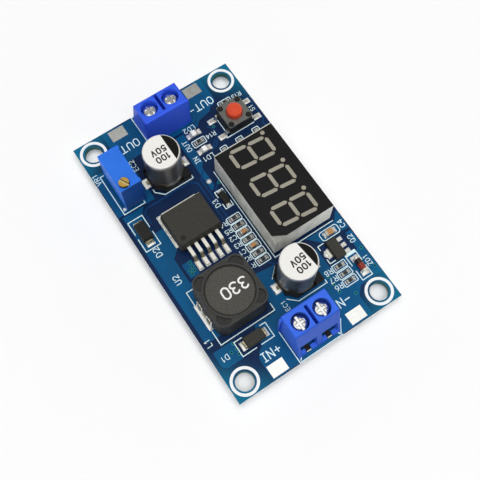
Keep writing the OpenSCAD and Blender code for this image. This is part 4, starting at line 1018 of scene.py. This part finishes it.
# Radius of a via's bore as a share of its ring's diameter, how far the dark dome overlaps the ring, and its
# colour, which is painted shade for the bore
VIA_BORE = 0.27
BORE_SHADE_OVERLAP = 0.02
BORE_SHADE_COLOUR = (0.02, 0.07, 0.12)


class MODULE_OT_board(bpy.types.Operator):
    """Lacquers the board and raises its copper areas, tracks and vias"""

    bl_idname = "module.board"
    bl_label = "Board"

    def execute(self, context):
        look = context.scene.module_board
        paint(lacquered("board_lacquer", look, look.mask_colour), "circuit_board")
        tin = look.tin_colour
        tinning = plated("pad_tinning", tin, rough=0.18, lumps=0.9, depth=0.008, dull=0.05, dark=0.93)
        paint(tinning, "tinned_pads")
        paint(plated("pin_solder", look.solder_colour, rough=0.18, lumps=0.7), "solder_fillets")
        copper = lacquered("copper_lacquer", look, look.pour_colour)
        track = lacquered("track_lacquer", look, look.track_colour)
        ring = lacquered("via_lacquer", look, look.via_colour)
        # Painted shade: dark domes stand in for the shade inside the vias' bores
        bore_shade = satin("via_bore_shade", BORE_SHADE_COLOUR, rough=0.5)
        top, below = BOARD_TOP + look.pour_height, -look.pour_height
        relief, under, tracks, vias, bore_shades = Shape(), Shape(), Shape(), Shape(), Shape()
        for outline in POURS:
            relief.slab(outline, BOARD_TOP, top)
        for outline in UNDER_POURS:
            under.slab(outline, below, 0.0)
        for path in TRACKS:
            tracks.bar(path, look.track_width, BOARD_TOP, top + TRACK_RISE)
        for path in UNDER_TRACKS:
            tracks.bar(path, look.track_width, below - UNDER_TRACK_RISE, 0.0)
        inner, outer = look.via_diameter * VIA_BORE, look.via_diameter / 2
        for at in VIAS:
            vias.ring(at, inner, outer, BOARD_TOP, top + VIA_RISE, count=20)
            vias.ring(at, inner, outer, below - VIA_RISE, 0.0, count=20)
            bore_shades.dome(at, inner + BORE_SHADE_OVERLAP, top, BORE_SHADE_RISE, steps=2, count=16)
        relief.piece("copper_relief", copper, slot="board_mask")
        under.piece("under_relief", copper, slot="board_mask")
        tracks.piece("board_tracks", track, slot="board_mask")
        vias.piece("via_rings", ring, slot="board_mask")
        bore_shades.piece("via_bore_shades", bore_shade, slot="board_mask")
        return {"FINISHED"}


# Printed outline round a chip: room along and across it and radius of its corners, for short and long chips
CHIP_ROOM = (0.78, 0.40, 0.25)
LONG_CHIP_ROOM = (1.23, 0.40, 0.6)
LONG_CHIP = 1.8
# Width of that outline as a share of other lines, and how close to a lamp's middle a chip is that lamp
CHIP_LINE = 0.9
LAMP_NEAR = 1.0
# Bar at the cathode end of the glass diode's outline
CATHODE_MARK = ((-20.2, -17.75), (-19.5, -17.75), (-19.5, -15.25), (-20.2, -15.25))
# Inner radius of the ring round a mounting hole, and a letter's stroke as a share of its height
HOLE_RING_BORE = 2.4
STROKE = 0.13


class MODULE_OT_legend(bpy.types.Operator):
    """Prints the lines, part outlines, hole rings and words on the board"""

    bl_idname = "module.legend"
    bl_label = "Legend"

    def execute(self, context):
        look = context.scene.module_board
        ink = printed("legend_ink", look.legend_colour)
        thin = printed("thin_legend_ink", look.thin_legend)
        top = BOARD_TOP + look.legend_height
        lines, rings, words = Shape(), Shape(), Shape()
        for path in LINES:
            lines.bar(path, look.line_width, BOARD_TOP, top)
        lamps = [(a + b) / 2 for a, b in islands("lamp_bases")]
        for mid, axis, span, width in chips():
            if any((mid - lamp).xy.length < LAMP_NEAR for lamp in lamps):
                continue
            along, across, bend = LONG_CHIP_ROOM if span > LONG_CHIP else CHIP_ROOM
            along, across = along + span / 2, across + width / 2
            half = Vector((across, along) if axis else (along, across))
            outline = round_box(mid.xy - half, mid.xy + half, bend)
            lines.bar(outline, look.line_width * CHIP_LINE, BOARD_TOP, top)
        lines.slab(CATHODE_MARK, BOARD_TOP, top)
        for x in (-look.hole_x, look.hole_x):
            for y in (-look.hole_y, look.hole_y):
                for bottom, crown in ((BOARD_TOP, top), (-look.legend_height, 0.0)):
                    rings.ring((x, y), HOLE_RING_BORE, look.hole_ring / 2, bottom, crown, count=64)
        for text, x, y, size, turn in WORDS:
            words.words(text, (x, y), size, turn, size * STROKE, BOARD_TOP, top)
        lines.piece("legend_lines", thin)
        rings.piece("hole_rings", ink)
        words.piece("legend_words", thin)
        return {"FINISHED"}


# Pads longer than this stay bare, and so do the wire pads at the ends; one as wide as it is long is round
LONG_PAD = 3.6
ROUND_PAD = 0.01
# Solder on a pad: bare rim, height of a round mound, greatest height of a long one and its share of the width
PAD_RIM = 0.04
ROUND_HEIGHT = 0.25
PUDDLE_HEIGHT = 0.12
PUDDLE_SHARE = 0.1


def pad_puddles(look, pads):
    """Solder on the pads, and the mounds beside them."""
    puddles = Shape()
    rim = Vector((PAD_RIM, PAD_RIM, 0.0))
    for a, b in pads:
        span = b - a
        if max(span.x, span.y) > LONG_PAD or abs(a.x + b.x) > 2 * look.hole_x:
            continue
        if abs(span.x - span.y) < ROUND_PAD:
            puddles.dome((a + b) / 2, span.x / 2 - rim.x, PAD_TOP, ROUND_HEIGHT)
        else:
            height = min(PUDDLE_HEIGHT, PUDDLE_SHARE * min(span.x, span.y))
            puddles.pillow(a + rim, b - rim, PAD_TOP, height)
    for x, y, radius, height in MOUNDS:
        puddles.dome((x, y), radius, BOARD_TOP, height)
    return puddles


# Solder up a chip's end: bare rim of the pad, height as a share of the end's, and half width of a wide chip
FILLET_RIM = 0.03
FILLET_SHARE = 0.8
WIDE_CHIP = 0.5


def chip_fillets(pads, puddles):
    """Solder up the ends of the chip parts. That of the wide ones joins the puddles."""
    fillets = Shape()
    for a, b in islands("chip_end_caps"):
        mid, span = (a + b) / 2, b - a
        pad = min(pads, key=lambda p: ((p[0] + p[1]) / 2 - mid).xy.length)
        shift = ((pad[0] + pad[1]) / 2 - mid).xy
        axis = 0 if abs(shift.x) > abs(shift.y) else 1
        sign = 1 if shift[axis] > 0 else -1
        out = Vector((sign, 0.0)) if axis == 0 else Vector((0.0, sign))
        face = mid.xy + out * (span[axis] / 2)
        edge = pad[1][axis] if sign > 0 else pad[0][axis]
        run = abs(edge - face[axis]) - FILLET_RIM
        near = span[1 - axis] / 2
        far = min(near, (pad[1] - pad[0])[1 - axis] / 2 - FILLET_RIM)
        shape = puddles if near > WIDE_CHIP else fillets
        shape.wedge(face, out, run, near, far, PAD_TOP, (b.z - PAD_TOP) * FILLET_SHARE)
    return fillets


# Solder at the regulator's tab: gap to its neighbours, then a bar's bare ends and height
TAB_GAP = 0.02
BAR_ENDS = (0.6, 0.2)
BAR_HEIGHT = 0.22
# Beads in a row: their lengths, the gap between two, the row's distance from the pad's end, and height
BEAD_LENGTHS = (1.3, 1.7, 1.5, 1.6)
BEAD_GAP = 0.25
BEAD_START = 0.1
BEAD_HEIGHT = 0.16


def tab_beads(pads):
    """Solder on the largest pad: a bar beside the regulator's tab and a row of beads along its body."""
    beads = Shape()
    a, b = max(pads, key=lambda p: (p[1] - p[0]).x * (p[1] - p[0]).y)
    body, plate = high("regulator_body"), high("regulator_tab")
    start = (plate.x + TAB_GAP, a.y + BAR_ENDS[0])
    beads.pillow(start, (b.x - TAB_GAP, b.y - BAR_ENDS[1]), PAD_TOP, BAR_HEIGHT)
    end = b.x - BEAD_START
    for run in BEAD_LENGTHS:
        beads.pillow((end - run, body.y + TAB_GAP), (end, b.y - TAB_GAP), PAD_TOP, BEAD_HEIGHT)
        end -= run + BEAD_GAP
    return beads


# Foot of a clip's solder: how far it reaches under the clip, out from it and past its loops, and its height
FOOT_UNDER = 0.02
FOOT_OUT = 0.74
FOOT_PAST = 1.3
FOOT_HEIGHT = 0.2
# Loops up a clip: place as a share of its width, thickness, half widths at the clip and outside, and height
LOOP_PLACE = 0.29
LOOP_RUN = 0.44
LOOP_HALVES = (1.2, 1.25)
LOOP_HEIGHT = 3.2


def clip_loops(look):
    """Solder at the inductor's clips, a flat foot and two loops up each, with its finish."""
    loops = Shape()
    for a, b in islands("inductor_clips"):
        mid, sign = (a + b) / 2, 1 if a.y > middle("inductor_shield").y else -1
        wall, reach = b.y if sign > 0 else a.y, (b.x - a.x) * LOOP_PLACE
        inner, outer = sorted((wall - sign * FOOT_UNDER, wall + sign * FOOT_OUT))
        half = reach + FOOT_PAST
        loops.pillow((mid.x - half, inner), (mid.x + half, outer), PAD_TOP, FOOT_HEIGHT)
        out = Vector((0.0, sign))
        for side in (-1, 1):
            face = Vector((mid.x + side * reach, wall + sign * FOOT_UNDER))
            loops.wedge(face, out, LOOP_RUN, *LOOP_HALVES, PAD_TOP, LOOP_HEIGHT, steps=12, blunt=8)
    return loops, wetted("clip_solder_skin", look, mid.x, reach)


class MODULE_OT_solder(bpy.types.Operator):
    """Flows solder over the pads, up the chip parts' ends, along the regulator's tab and up the clips"""

    bl_idname = "module.solder"
    bl_label = "Solder"

    def execute(self, context):
        look = context.scene.module_board
        bright = plated("pad_solder_skin", look.solder_colour, rough=0.22, depth=0.012, metal=0.45, dark=0.9)
        dull = plated("chip_solder_skin", look.dull_solder, lumps=0.4, depth=0.012)
        pads = islands("tinned_pads")
        puddles = pad_puddles(look, pads)
        fillets = chip_fillets(pads, puddles)
        beads = tab_beads(pads)
        loops, wet = clip_loops(look)
        puddles.piece("pad_solder", bright, slot="solder", smooth=True)
        fillets.piece("chip_solder", dull, slot="solder", smooth=True)
        beads.piece("tab_solder", bright, slot="solder", smooth=True)
        loops.piece("clip_solder", wet, slot="solder", smooth=True)
        return {"FINISHED"}


class MODULE_OT_terminals(bpy.types.Operator):
    """Finishes the terminal blocks, their screws, contacts and wire guards"""

    bl_idname = "module.terminals"
    bl_label = "Terminal blocks"

    def execute(self, context):
        look = context.scene.module_parts
        poles = [f"{end}_{pole}" for end in ("input", "output") for pole in ("plus", "minus")]
        # front: painted shade on the input block's front, painted light on the output block's back, both
        # facing the input end
        for end, tone, front in (("input", look.terminal, 0.68), ("output", look.output_terminal, 1.24)):
            name = f"{end}_terminal_plastic"
            plastic = satin(name, tone, rough=0.36, grain=0.12, size=0.3, gloss=0.045, front=front)
            paint(plastic, f"{end}_terminal_housing", bevel=0.12)
            contacts = f"{end}_terminal_contacts"
            paint(contact_shade_and_glint(f"{end}_contact_metal", look, contacts), contacts)
        steel = plated("screw_plating", look.steel, rough=0.16, lumps=0.6, dull=0.10)
        paint(steel, *[f"{pole}_screw" for pole in poles], bevel=0.06)
        paint(plated("guard_plating", look.brass, rough=0.32), *[f"{pole}_guard" for pole in poles])
        return {"FINISHED"}


# Colours of the trimmer's works
ROTOR_COLOUR = (0.86, 0.85, 0.80)
ELEMENT_COLOUR = (0.87, 0.85, 0.80)
ELEMENT_SPECK = (0.96, 0.95, 0.92)


class MODULE_OT_trimmer(bpy.types.Operator):
    """Finishes the trimmer, its brass screw and the works inside"""

    bl_idname = "module.trimmer"
    bl_label = "Trimmer"

    def execute(self, context):
        look = context.scene.module_parts
        # front=0.4: painted shade on the trimmer's end that faces the input end
        plastic = satin("trimmer_plastic", look.trimmer, rough=0.40, size=0.3, front=0.4)
        paint(plastic, "trimmer_housing", bevel=0.12)
        paint(slotted("trimmer_brass", look, "trimmer_screw"), "trimmer_screw", bevel=0.05)
        paint(satin("rotor_plastic", ROTOR_COLOUR, rough=0.5), "trimmer_rotor")
        paint(gritty("track_ceramic", ELEMENT_COLOUR, ELEMENT_SPECK, rough=0.6), "trimmer_element")
        paint(plated("trimmer_pin_tin", look.tin, rough=0.25), "trimmer_pins")
        return {"FINISHED"}


# Capacitor tops: end, turn in degrees, distance of the black segment from the middle, shift of the print
CAN_TOPS = (("input", 6.5, 2.05, 0.02), ("output", 0.0, 1.78, 0.36))
# Lines of print with their places across the top, then their height, stroke, thickness and gaps
CAN_PRINT = (("100", -1.5), ("50V", 0.34))
CAN_LETTER = 1.22
CAN_STROKE = 0.28
INK_HEIGHT = 0.02
CAN_LETTER_GAP = 0.38
CAN_BASE_COLOUR = (0.11, 0.11, 0.11)


class MODULE_OT_capacitors(bpy.types.Operator):
    """Finishes the two capacitors and prints their tops"""

    bl_idname = "module.capacitors"
    bl_label = "Capacitors"

    def execute(self, context):
        look = context.scene.module_parts
        ink = printed("can_ink", look.can_mark)
        for end, degrees, edge, along in CAN_TOPS:
            tilt, node = math.radians(degrees), f"{end}_capacitor_can"
            paint(can_skin(f"{end}_can_skin", look, node, tilt, edge), node)
            name = f"{end}_base_moulding"
            moulding = satin(name, CAN_BASE_COLOUR, rough=0.5, grain=0.15, depth=0.03, size=0.2)
            paint(moulding, f"{end}_capacitor_base", bevel=0.1)
            paint(plated(f"{end}_lead_tin", look.old_tin, rough=0.3, dark=0.35), f"{end}_capacitor_leads")
            mid, top = middle(node), high(node).z
            crown = top + INK_HEIGHT
            marks = Shape()
            for text, across in CAN_PRINT:
                at = turned([(across, along)], mid, math.cos(tilt), math.sin(tilt))[0]
                marks.words(text, at, CAN_LETTER, 90 + degrees, CAN_STROKE, top, crown, CAN_LETTER_GAP)
            marks.piece(f"{end}_capacitor_print", ink)
        return {"FINISHED"}


# Specks in the moulding compound, and the moulding mark's distance from the body's edges, radius and height
MOULD_SPECK = (0.45, 0.45, 0.43)
MARK_INSET = 1.5
MARK_RADIUS = 0.52
MARK_HEIGHT = 0.015


class MODULE_OT_regulator(bpy.types.Operator):
    """Finishes the regulator, the diodes, the three-lead part and the controller"""

    bl_idname = "module.regulator"
    bl_label = "Moulded parts"

    def execute(self, context):
        look = context.scene.module_parts
        mould = gritty("moulding_compound", look.mould, MOULD_SPECK, rough=0.58)
        paint(mould, "regulator_body", bevel=0.10)
        paint(mould, "input_diode_body", "transistor_body", "controller_body", bevel=0.06)
        dark = gritty("dark_compound", look.dark_mould, MOULD_SPECK, rough=0.55)
        paint(dark, "output_diode_body", "signal_diode_body", bevel=0.06)
        tin = plated("lead_tin", look.tin, rough=0.22, lumps=0.6, depth=0.02)
        paint(tin, "regulator_tab", "transistor_leads", "controller_leads", bevel=0.04)
        paint(bent("regulator_tin", look), "regulator_leads", bevel=0.04)
        paint(plated("diode_tin", look.old_tin, rough=0.24, lumps=0.8, dark=0.45), "diode_leads", bevel=0.04)
        at = (low("regulator_body").x + MARK_INSET, high("regulator_body").y - MARK_INSET)
        mark = Shape()
        mark.dome(at, MARK_RADIUS, high("regulator_body").z, MARK_HEIGHT, steps=3, count=32)
        mark.piece("regulator_dimple", dark)
        return {"FINISHED"}


# Ferrite specks, enamel, glue and print of the inductor
RING_SPECK = (0.42, 0.41, 0.39)
DRUM_SPECK = (0.48, 0.46, 0.44)
ENAMEL_COLOUR = (0.72, 0.42, 0.24)
GLUE_COLOUR = (0.20, 0.19, 0.18)
GLUE_SPECK = (0.3, 0.29, 0.28)
INDUCTOR_INK = (0.95, 0.95, 0.94)
# Glue in the gap: start past the drum, width, and depths of its foot and top
GLUE_START = -0.02
GLUE_WIDTH = 0.24
GLUE_DEPTHS = (0.9, 0.10)
# Dark line of painted shade round the ring's bore: distance from it, width, and heights over the crest
RING_SHADE_PAST = 0.42
RING_SHADE_WIDTH = 0.12
RING_SHADE_HEIGHTS = (-0.2, 0.012)
# Webs and pocket floors in the ring: lip round the bore, overlap with the rim, half gap at a wall's middle
BORE_LIP = 0.45
RIM_OVERLAP = 0.05
WEB_GAP = 0.9
# Depths below the crest of their foot, of a web's top and of a pocket's floor
WEB_FOOT = 0.8
WEB_TOP = 0.02
POCKET_FLOOR = 0.52
# Print: its shift from the drum's middle, height, stroke and gaps
VALUE_SHIFT = (-0.13, -1.0)
VALUE_HEIGHT = 2.35
VALUE_STROKE = 0.36
VALUE_GAP = 0.25


def ring_webs(look, mid, crest):
    """Webs between the ring's rim and bore, and the floors of the round pockets in its corners."""
    webs = Shape()
    rim, lobe, bore = look.ring_inside / 2, look.pocket_round, look.ring_bore / 2 + BORE_LIP
    corner, wide = rim - lobe, lobe + RIM_OVERLAP
    web = [(WEB_GAP, rim + RIM_OVERLAP)] + arc(corner, corner, lobe, lobe, 90, 146)
    web += arc(0.0, 0.0, bore, bore, 60, 81)
    pocket = arc(corner, corner, wide, wide, -12, 102) + arc(0.0, 0.0, bore, bore, 72, 18)
    for c, s in ((1, 0), (0, 1), (-1, 0), (0, -1)):
        for side in (-1, 1):
            outline = turned([(side * x, y) for x, y in web], mid, c, s)
            webs.slab(outline, crest - WEB_FOOT, crest - WEB_TOP)
        webs.slab(turned(pocket, mid, c, s), crest - WEB_FOOT, crest - POCKET_FLOOR)
    return webs


def glue_and_bore_shade(look, mid, radius, top, crest):
    """Glue between drum and ring, and a dark line of painted shade round the ring's bore."""
    glue = Shape()
    start, ring_shade = radius + GLUE_START, look.ring_bore / 2 + RING_SHADE_PAST
    foot, crown = GLUE_DEPTHS
    glue.ring(mid, start, start + GLUE_WIDTH, top - foot, top - crown, count=96)
    # Painted shade: a dark line round the ring's bore
    foot, crown = RING_SHADE_HEIGHTS
    glue.ring(mid, ring_shade, ring_shade + RING_SHADE_WIDTH, crest + foot, crest + crown, count=96)
    return glue


class MODULE_OT_inductor(bpy.types.Operator):
    """Finishes the inductor, fills its gap, shapes its ring's corners and prints its value"""

    bl_idname = "module.inductor"
    bl_label = "Inductor"

    def execute(self, context):
        look = context.scene.module_parts
        crest, top = high("inductor_shield").z, high("inductor_drum").z
        mid = middle("inductor_drum").xy
        radius = (high("inductor_drum").x - low("inductor_drum").x) / 2
        # crest: painted shade on the floors of the ring's pockets
        ring = gritty("ferrite_ring", look.ring, RING_SPECK, rough=0.55, size=0.2, sides=0.4, crest=crest)
        paint(ring, "inductor_shield", bevel=0.10)
        drum = gritty("ferrite_drum", look.ferrite, DRUM_SPECK, size=0.24, sides=0.4)
        paint(drum, "inductor_drum", bevel=0.10)
        paint(plated("winding_enamel", ENAMEL_COLOUR, rough=0.3), "inductor_winding")
        paint(plated("clip_tin", look.tin, rough=0.2, lumps=0.9, depth=0.05), "inductor_clips", bevel=0.05)
        resin = gritty("glue_and_bore_shade", GLUE_COLOUR, GLUE_SPECK, rough=0.5)
        glue_and_bore_shade(look, mid, radius, top, crest).piece("inductor_glue", resin)
        ring_webs(look, mid, crest).piece("inductor_webs", ring)
        marks = Shape()
        at = (mid.x + VALUE_SHIFT[0], mid.y + VALUE_SHIFT[1])
        marks.words("330", at, VALUE_HEIGHT, 90, VALUE_STROKE, top, top + INK_HEIGHT, VALUE_GAP)
        marks.piece("inductor_print", printed("inductor_ink", INDUCTOR_INK))
        return {"FINISHED"}


# Laminate of the display's carrier board
CARRIER_COLOUR = (0.55, 0.60, 0.40)


class MODULE_OT_display(bpy.types.Operator):
    """Finishes the display: pale shell, dark face, milky segments, carrier and pins"""

    bl_idname = "module.display"
    bl_label = "Display"

    def execute(self, context):
        look = context.scene.module_parts
        paint(milky("shell_plastic", look, "display_shell"), "display_shell", bevel=0.10)
        paint(filmed("face_film", look, "display_face"), "display_face", bevel=0.03)
        resin = satin("segment_resin", look.segment, rough=0.34, grain=0.08, size=0.3, tint=0.14)
        paint(resin, "display_segments")
        paint(satin("carrier_laminate", CARRIER_COLOUR, rough=0.55), "display_circuit")
        paint(plated("display_pin_tin", look.tin, rough=0.25), "display_upper_pins", "display_lower_pins")
        return {"FINISHED"}


# Moulding of the push button's base
SWITCH_BASE_COLOUR = (0.13, 0.13, 0.13)


class MODULE_OT_button(bpy.types.Operator):
    """Finishes the push button"""

    bl_idname = "module.button"
    bl_label = "Push button"

    def execute(self, context):
        look = context.scene.module_parts
        paint(satin("switch_base_plastic", SWITCH_BASE_COLOUR, rough=0.5), "switch_base", bevel=0.05)
        sheet = plated("cover_sheet", look.cover, rough=0.42, lumps=0.8, depth=0.02)
        paint(sheet, "switch_cover", bevel=0.08)
        plastic = satin("plunger_plastic", look.plunger, rough=0.36, grain=0.12, size=0.3)
        paint(plastic, "switch_plunger", bevel=0.10)
        paint(plated("dome_steel", look.steel, rough=0.3), "switch_dome")
        paint(plated("switch_leg_tin", look.tin, rough=0.22), "switch_legs", bevel=0.04)
        return {"FINISHED"}


# Colours of the chips' ceramics, of the resistors' coat and of their print
CERAMIC_COLOUR = (0.90, 0.90, 0.87)
CERAMIC_SPECK = (0.98, 0.98, 0.96)
COAT_COLOUR = (0.08, 0.08, 0.09)
DIELECTRIC_SPECK = (0.86, 0.66, 0.44)
CODE_INK = (0.46, 0.46, 0.45)
# Codes on the resistors in turn, with the print's height, stroke and thickness
CODES = ("103", "102", "472", "104")
CODE_HEIGHT = 0.44
CODE_STROKE = 0.055
CODE_THICKNESS = 0.012


class MODULE_OT_chips(bpy.types.Operator):
    """Finishes the chip parts, the lamps and the glass diode, and marks the resistors"""

    bl_idname = "module.chips"
    bl_label = "Chip parts"

    def execute(self, context):
        look = context.scene.module_parts
        ceramic = gritty("chip_ceramic", CERAMIC_COLOUR, CERAMIC_SPECK, rough=0.6)
        paint(ceramic, "chip_resistors", "lamp_bases")
        paint(satin("coat_enamel", COAT_COLOUR, rough=0.4, gloss=0.1), "resistor_coats")
        paint(gritty("chip_dielectric", look.tan, DIELECTRIC_SPECK, rough=0.5), "chip_capacitors", bevel=0.05)
        tin = plated("end_cap_tin", look.cap_tin, rough=0.26, lumps=0.4, metal=0.7)
        paint(tin, "chip_end_caps", bevel=0.04)
        paint(satin("lamp_resin", look.lamp, rough=0.25), "lamp_lenses", bevel=0.05)
        paint(tinted("diode_glass", look, "glass_diode_tube"), "glass_diode_tube")
        paint(plated("glass_diode_tin", look.tin, rough=0.22, metal=0.6), "glass_diode_caps", bevel=0.05)
        marks = Shape()
        for i, (a, b) in enumerate(islands("resistor_coats")):
            turn = 0 if (b - a).x > (b - a).y else 90
            code = CODES[i % len(CODES)]
            marks.words(code, (a + b) / 2, CODE_HEIGHT, turn, CODE_STROKE, b.z, b.z + CODE_THICKNESS)
        marks.piece("resistor_print", printed("resistor_ink", CODE_INK))
        return {"FINISHED"}


# Floor, in millimetres, and the share of its colour in its darker clouds
FLOOR_RADIUS = 700.0
FLOOR_THICKNESS = 2.0
FLOOR_SIDES = 64
FLOOR_CLOUD = 0.99
# Key lamp: its direction from the part, and its distance in metres
KEY_DIRECTION = (-0.16, 0.06, 0.98)
KEY_DISTANCE = 1.5
# Heights on the sky, as sines, between which the backdrop gives way to the low sky, and that to the high sky
BACKDROP_END = (0.22, 0.42)
HIGH_SKY = (0.86, 0.97)
# Camera: width of its sensor in millimetres, and what it sees in metres
SENSOR_WIDTH = 36.0
NEAREST = 0.005
FURTHEST = 5.0


def lay_floor(look):
    """A round floor of white paper under the part."""
    turns = [math.tau * i / FLOOR_SIDES for i in range(FLOOR_SIDES)]
    outline = [(FLOOR_RADIUS * math.cos(t), FLOOR_RADIUS * math.sin(t)) for t in turns]
    shape = Shape()
    shape.slab(outline, FLOOR - FLOOR_THICKNESS, FLOOR)
    skin = Finish("floor_paper")
    skin.coat(skin.vary(skin.noise(60.0), ink_of(look.floor), FLOOR_CLOUD), rough=0.9, gloss=0.0)
    shape.object("studio_floor", skin.material)


def aim(obj, place, turn):
    """Puts an object in the scene, at a place and with a turn."""
    obj.location = place
    obj.rotation_mode = "QUATERNION"
    obj.rotation_quaternion = turn
    bpy.context.scene.collection.objects.link(obj)


def hang_lamp(look, target):
    """A large square lamp overhead."""
    lamp = bpy.data.lights.new("key_lamp", "AREA")
    lamp.shape, lamp.size, lamp.size_y = "RECTANGLE", look.key_size, look.key_size
    lamp.energy = look.key_power
    key = bpy.data.objects.new("key_lamp", lamp)
    key.visible_glossy = False
    toward = Vector(KEY_DIRECTION).normalized()
    aim(key, target + toward * KEY_DISTANCE, toward.to_track_quat("Z", "Y"))


def spread_sky(look, scene):
    """A white sky with a bright backdrop, a dim low band and a bright roof."""
    scene.world = bpy.data.worlds.new("studio_sky")
    scene.world.use_nodes = True
    sky = Graph(scene.world.node_tree)
    sky.tree.nodes.remove(sky.tree.nodes["Background"])
    height = sky.split(sky.node("ShaderNodeTexCoord", output="Generated"))[2]
    edge, wall, roof = [
        sky.node("ShaderNodeBackground", None, {"Color": (1.0, 1.0, 1.0, 1.0), "Strength": strength})
        for strength in (look.sky_edge, look.sky_low, look.sky_high)
    ]
    around = sky.node("ShaderNodeMixShader", None, {0: sky.step(height, *BACKDROP_END), 1: edge, 2: wall})
    whole = sky.node("ShaderNodeMixShader", None, {0: sky.step(height, *HIGH_SKY), 1: around, 2: roof})
    sky.feed(sky.tree.nodes["World Output"].inputs["Surface"], whole)


def place_camera(look, scene, target):
    """A camera that looks down on the part."""
    lens = bpy.data.cameras.new("camera")
    lens.lens, lens.sensor_width = look.lens, SENSOR_WIDTH
    lens.clip_start, lens.clip_end = NEAREST, FURTHEST
    camera = bpy.data.objects.new("camera", lens)
    a, e = look.azimuth, look.elevation
    back = Vector((math.sin(a) * math.cos(e), -math.cos(a) * math.cos(e), math.sin(e)))
    aim(camera, target + back * look.distance, (-back).to_track_quat("-Z", "Y"))
    scene.camera = camera


class MODULE_OT_stage(bpy.types.Operator):
    """Sets the floor, lamp, sky and camera"""

    bl_idname = "module.stage"
    bl_label = "Stage"

    def execute(self, context):
        scene = context.scene
        look = scene.module_stage
        target = Vector(look.target)
        lay_floor(look)
        hang_lamp(look, target)
        spread_sky(look, scene)
        place_camera(look, scene, target)
        scene.view_settings.view_transform = "Standard"
        return {"FINISHED"}


STEPS = (
    MODULE_OT_board,
    MODULE_OT_legend,
    MODULE_OT_solder,
    MODULE_OT_terminals,
    MODULE_OT_trimmer,
    MODULE_OT_capacitors,
    MODULE_OT_regulator,
    MODULE_OT_inductor,
    MODULE_OT_display,
    MODULE_OT_button,
    MODULE_OT_chips,
    MODULE_OT_stage,
)
LOOKS = {"module_board": BoardLook, "module_parts": PartLook, "module_stage": StageLook}


class MODULE_PT_panel(bpy.types.Panel):
    """Lists the steps and what a user can change"""

    bl_idname = "MODULE_PT_panel"
    bl_label = "Boost converter module"
    bl_space_type = "VIEW_3D"
    bl_region_type = "UI"
    bl_category = "Module"

    def draw(self, context):
        for step in STEPS:
            self.layout.operator(step.bl_idname)
        for name, look in LOOKS.items():
            box = self.layout.box()
            for key in look.__annotations__:
                box.prop(getattr(context.scene, name), key)


CLASSES = (*LOOKS.values(), *STEPS, MODULE_PT_panel)


def register():
    for cls in CLASSES:
        bpy.utils.register_class(cls)
    for name, look in LOOKS.items():
        setattr(bpy.types.Scene, name, PointerProperty(type=look))


def unregister():
    for name in LOOKS:
        delattr(bpy.types.Scene, name)
    for cls in reversed(CLASSES):
        bpy.utils.unregister_class(cls)


def main():
    register()
    bpy.ops.module.board()
    bpy.ops.module.legend()
    bpy.ops.module.solder()
    bpy.ops.module.terminals()
    bpy.ops.module.trimmer()
    bpy.ops.module.capacitors()
    bpy.ops.module.regulator()
    bpy.ops.module.inductor()
    bpy.ops.module.display()
    bpy.ops.module.button()
    bpy.ops.module.chips()
    bpy.ops.module.stage()
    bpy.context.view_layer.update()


if __name__ == "__main__":
    main()
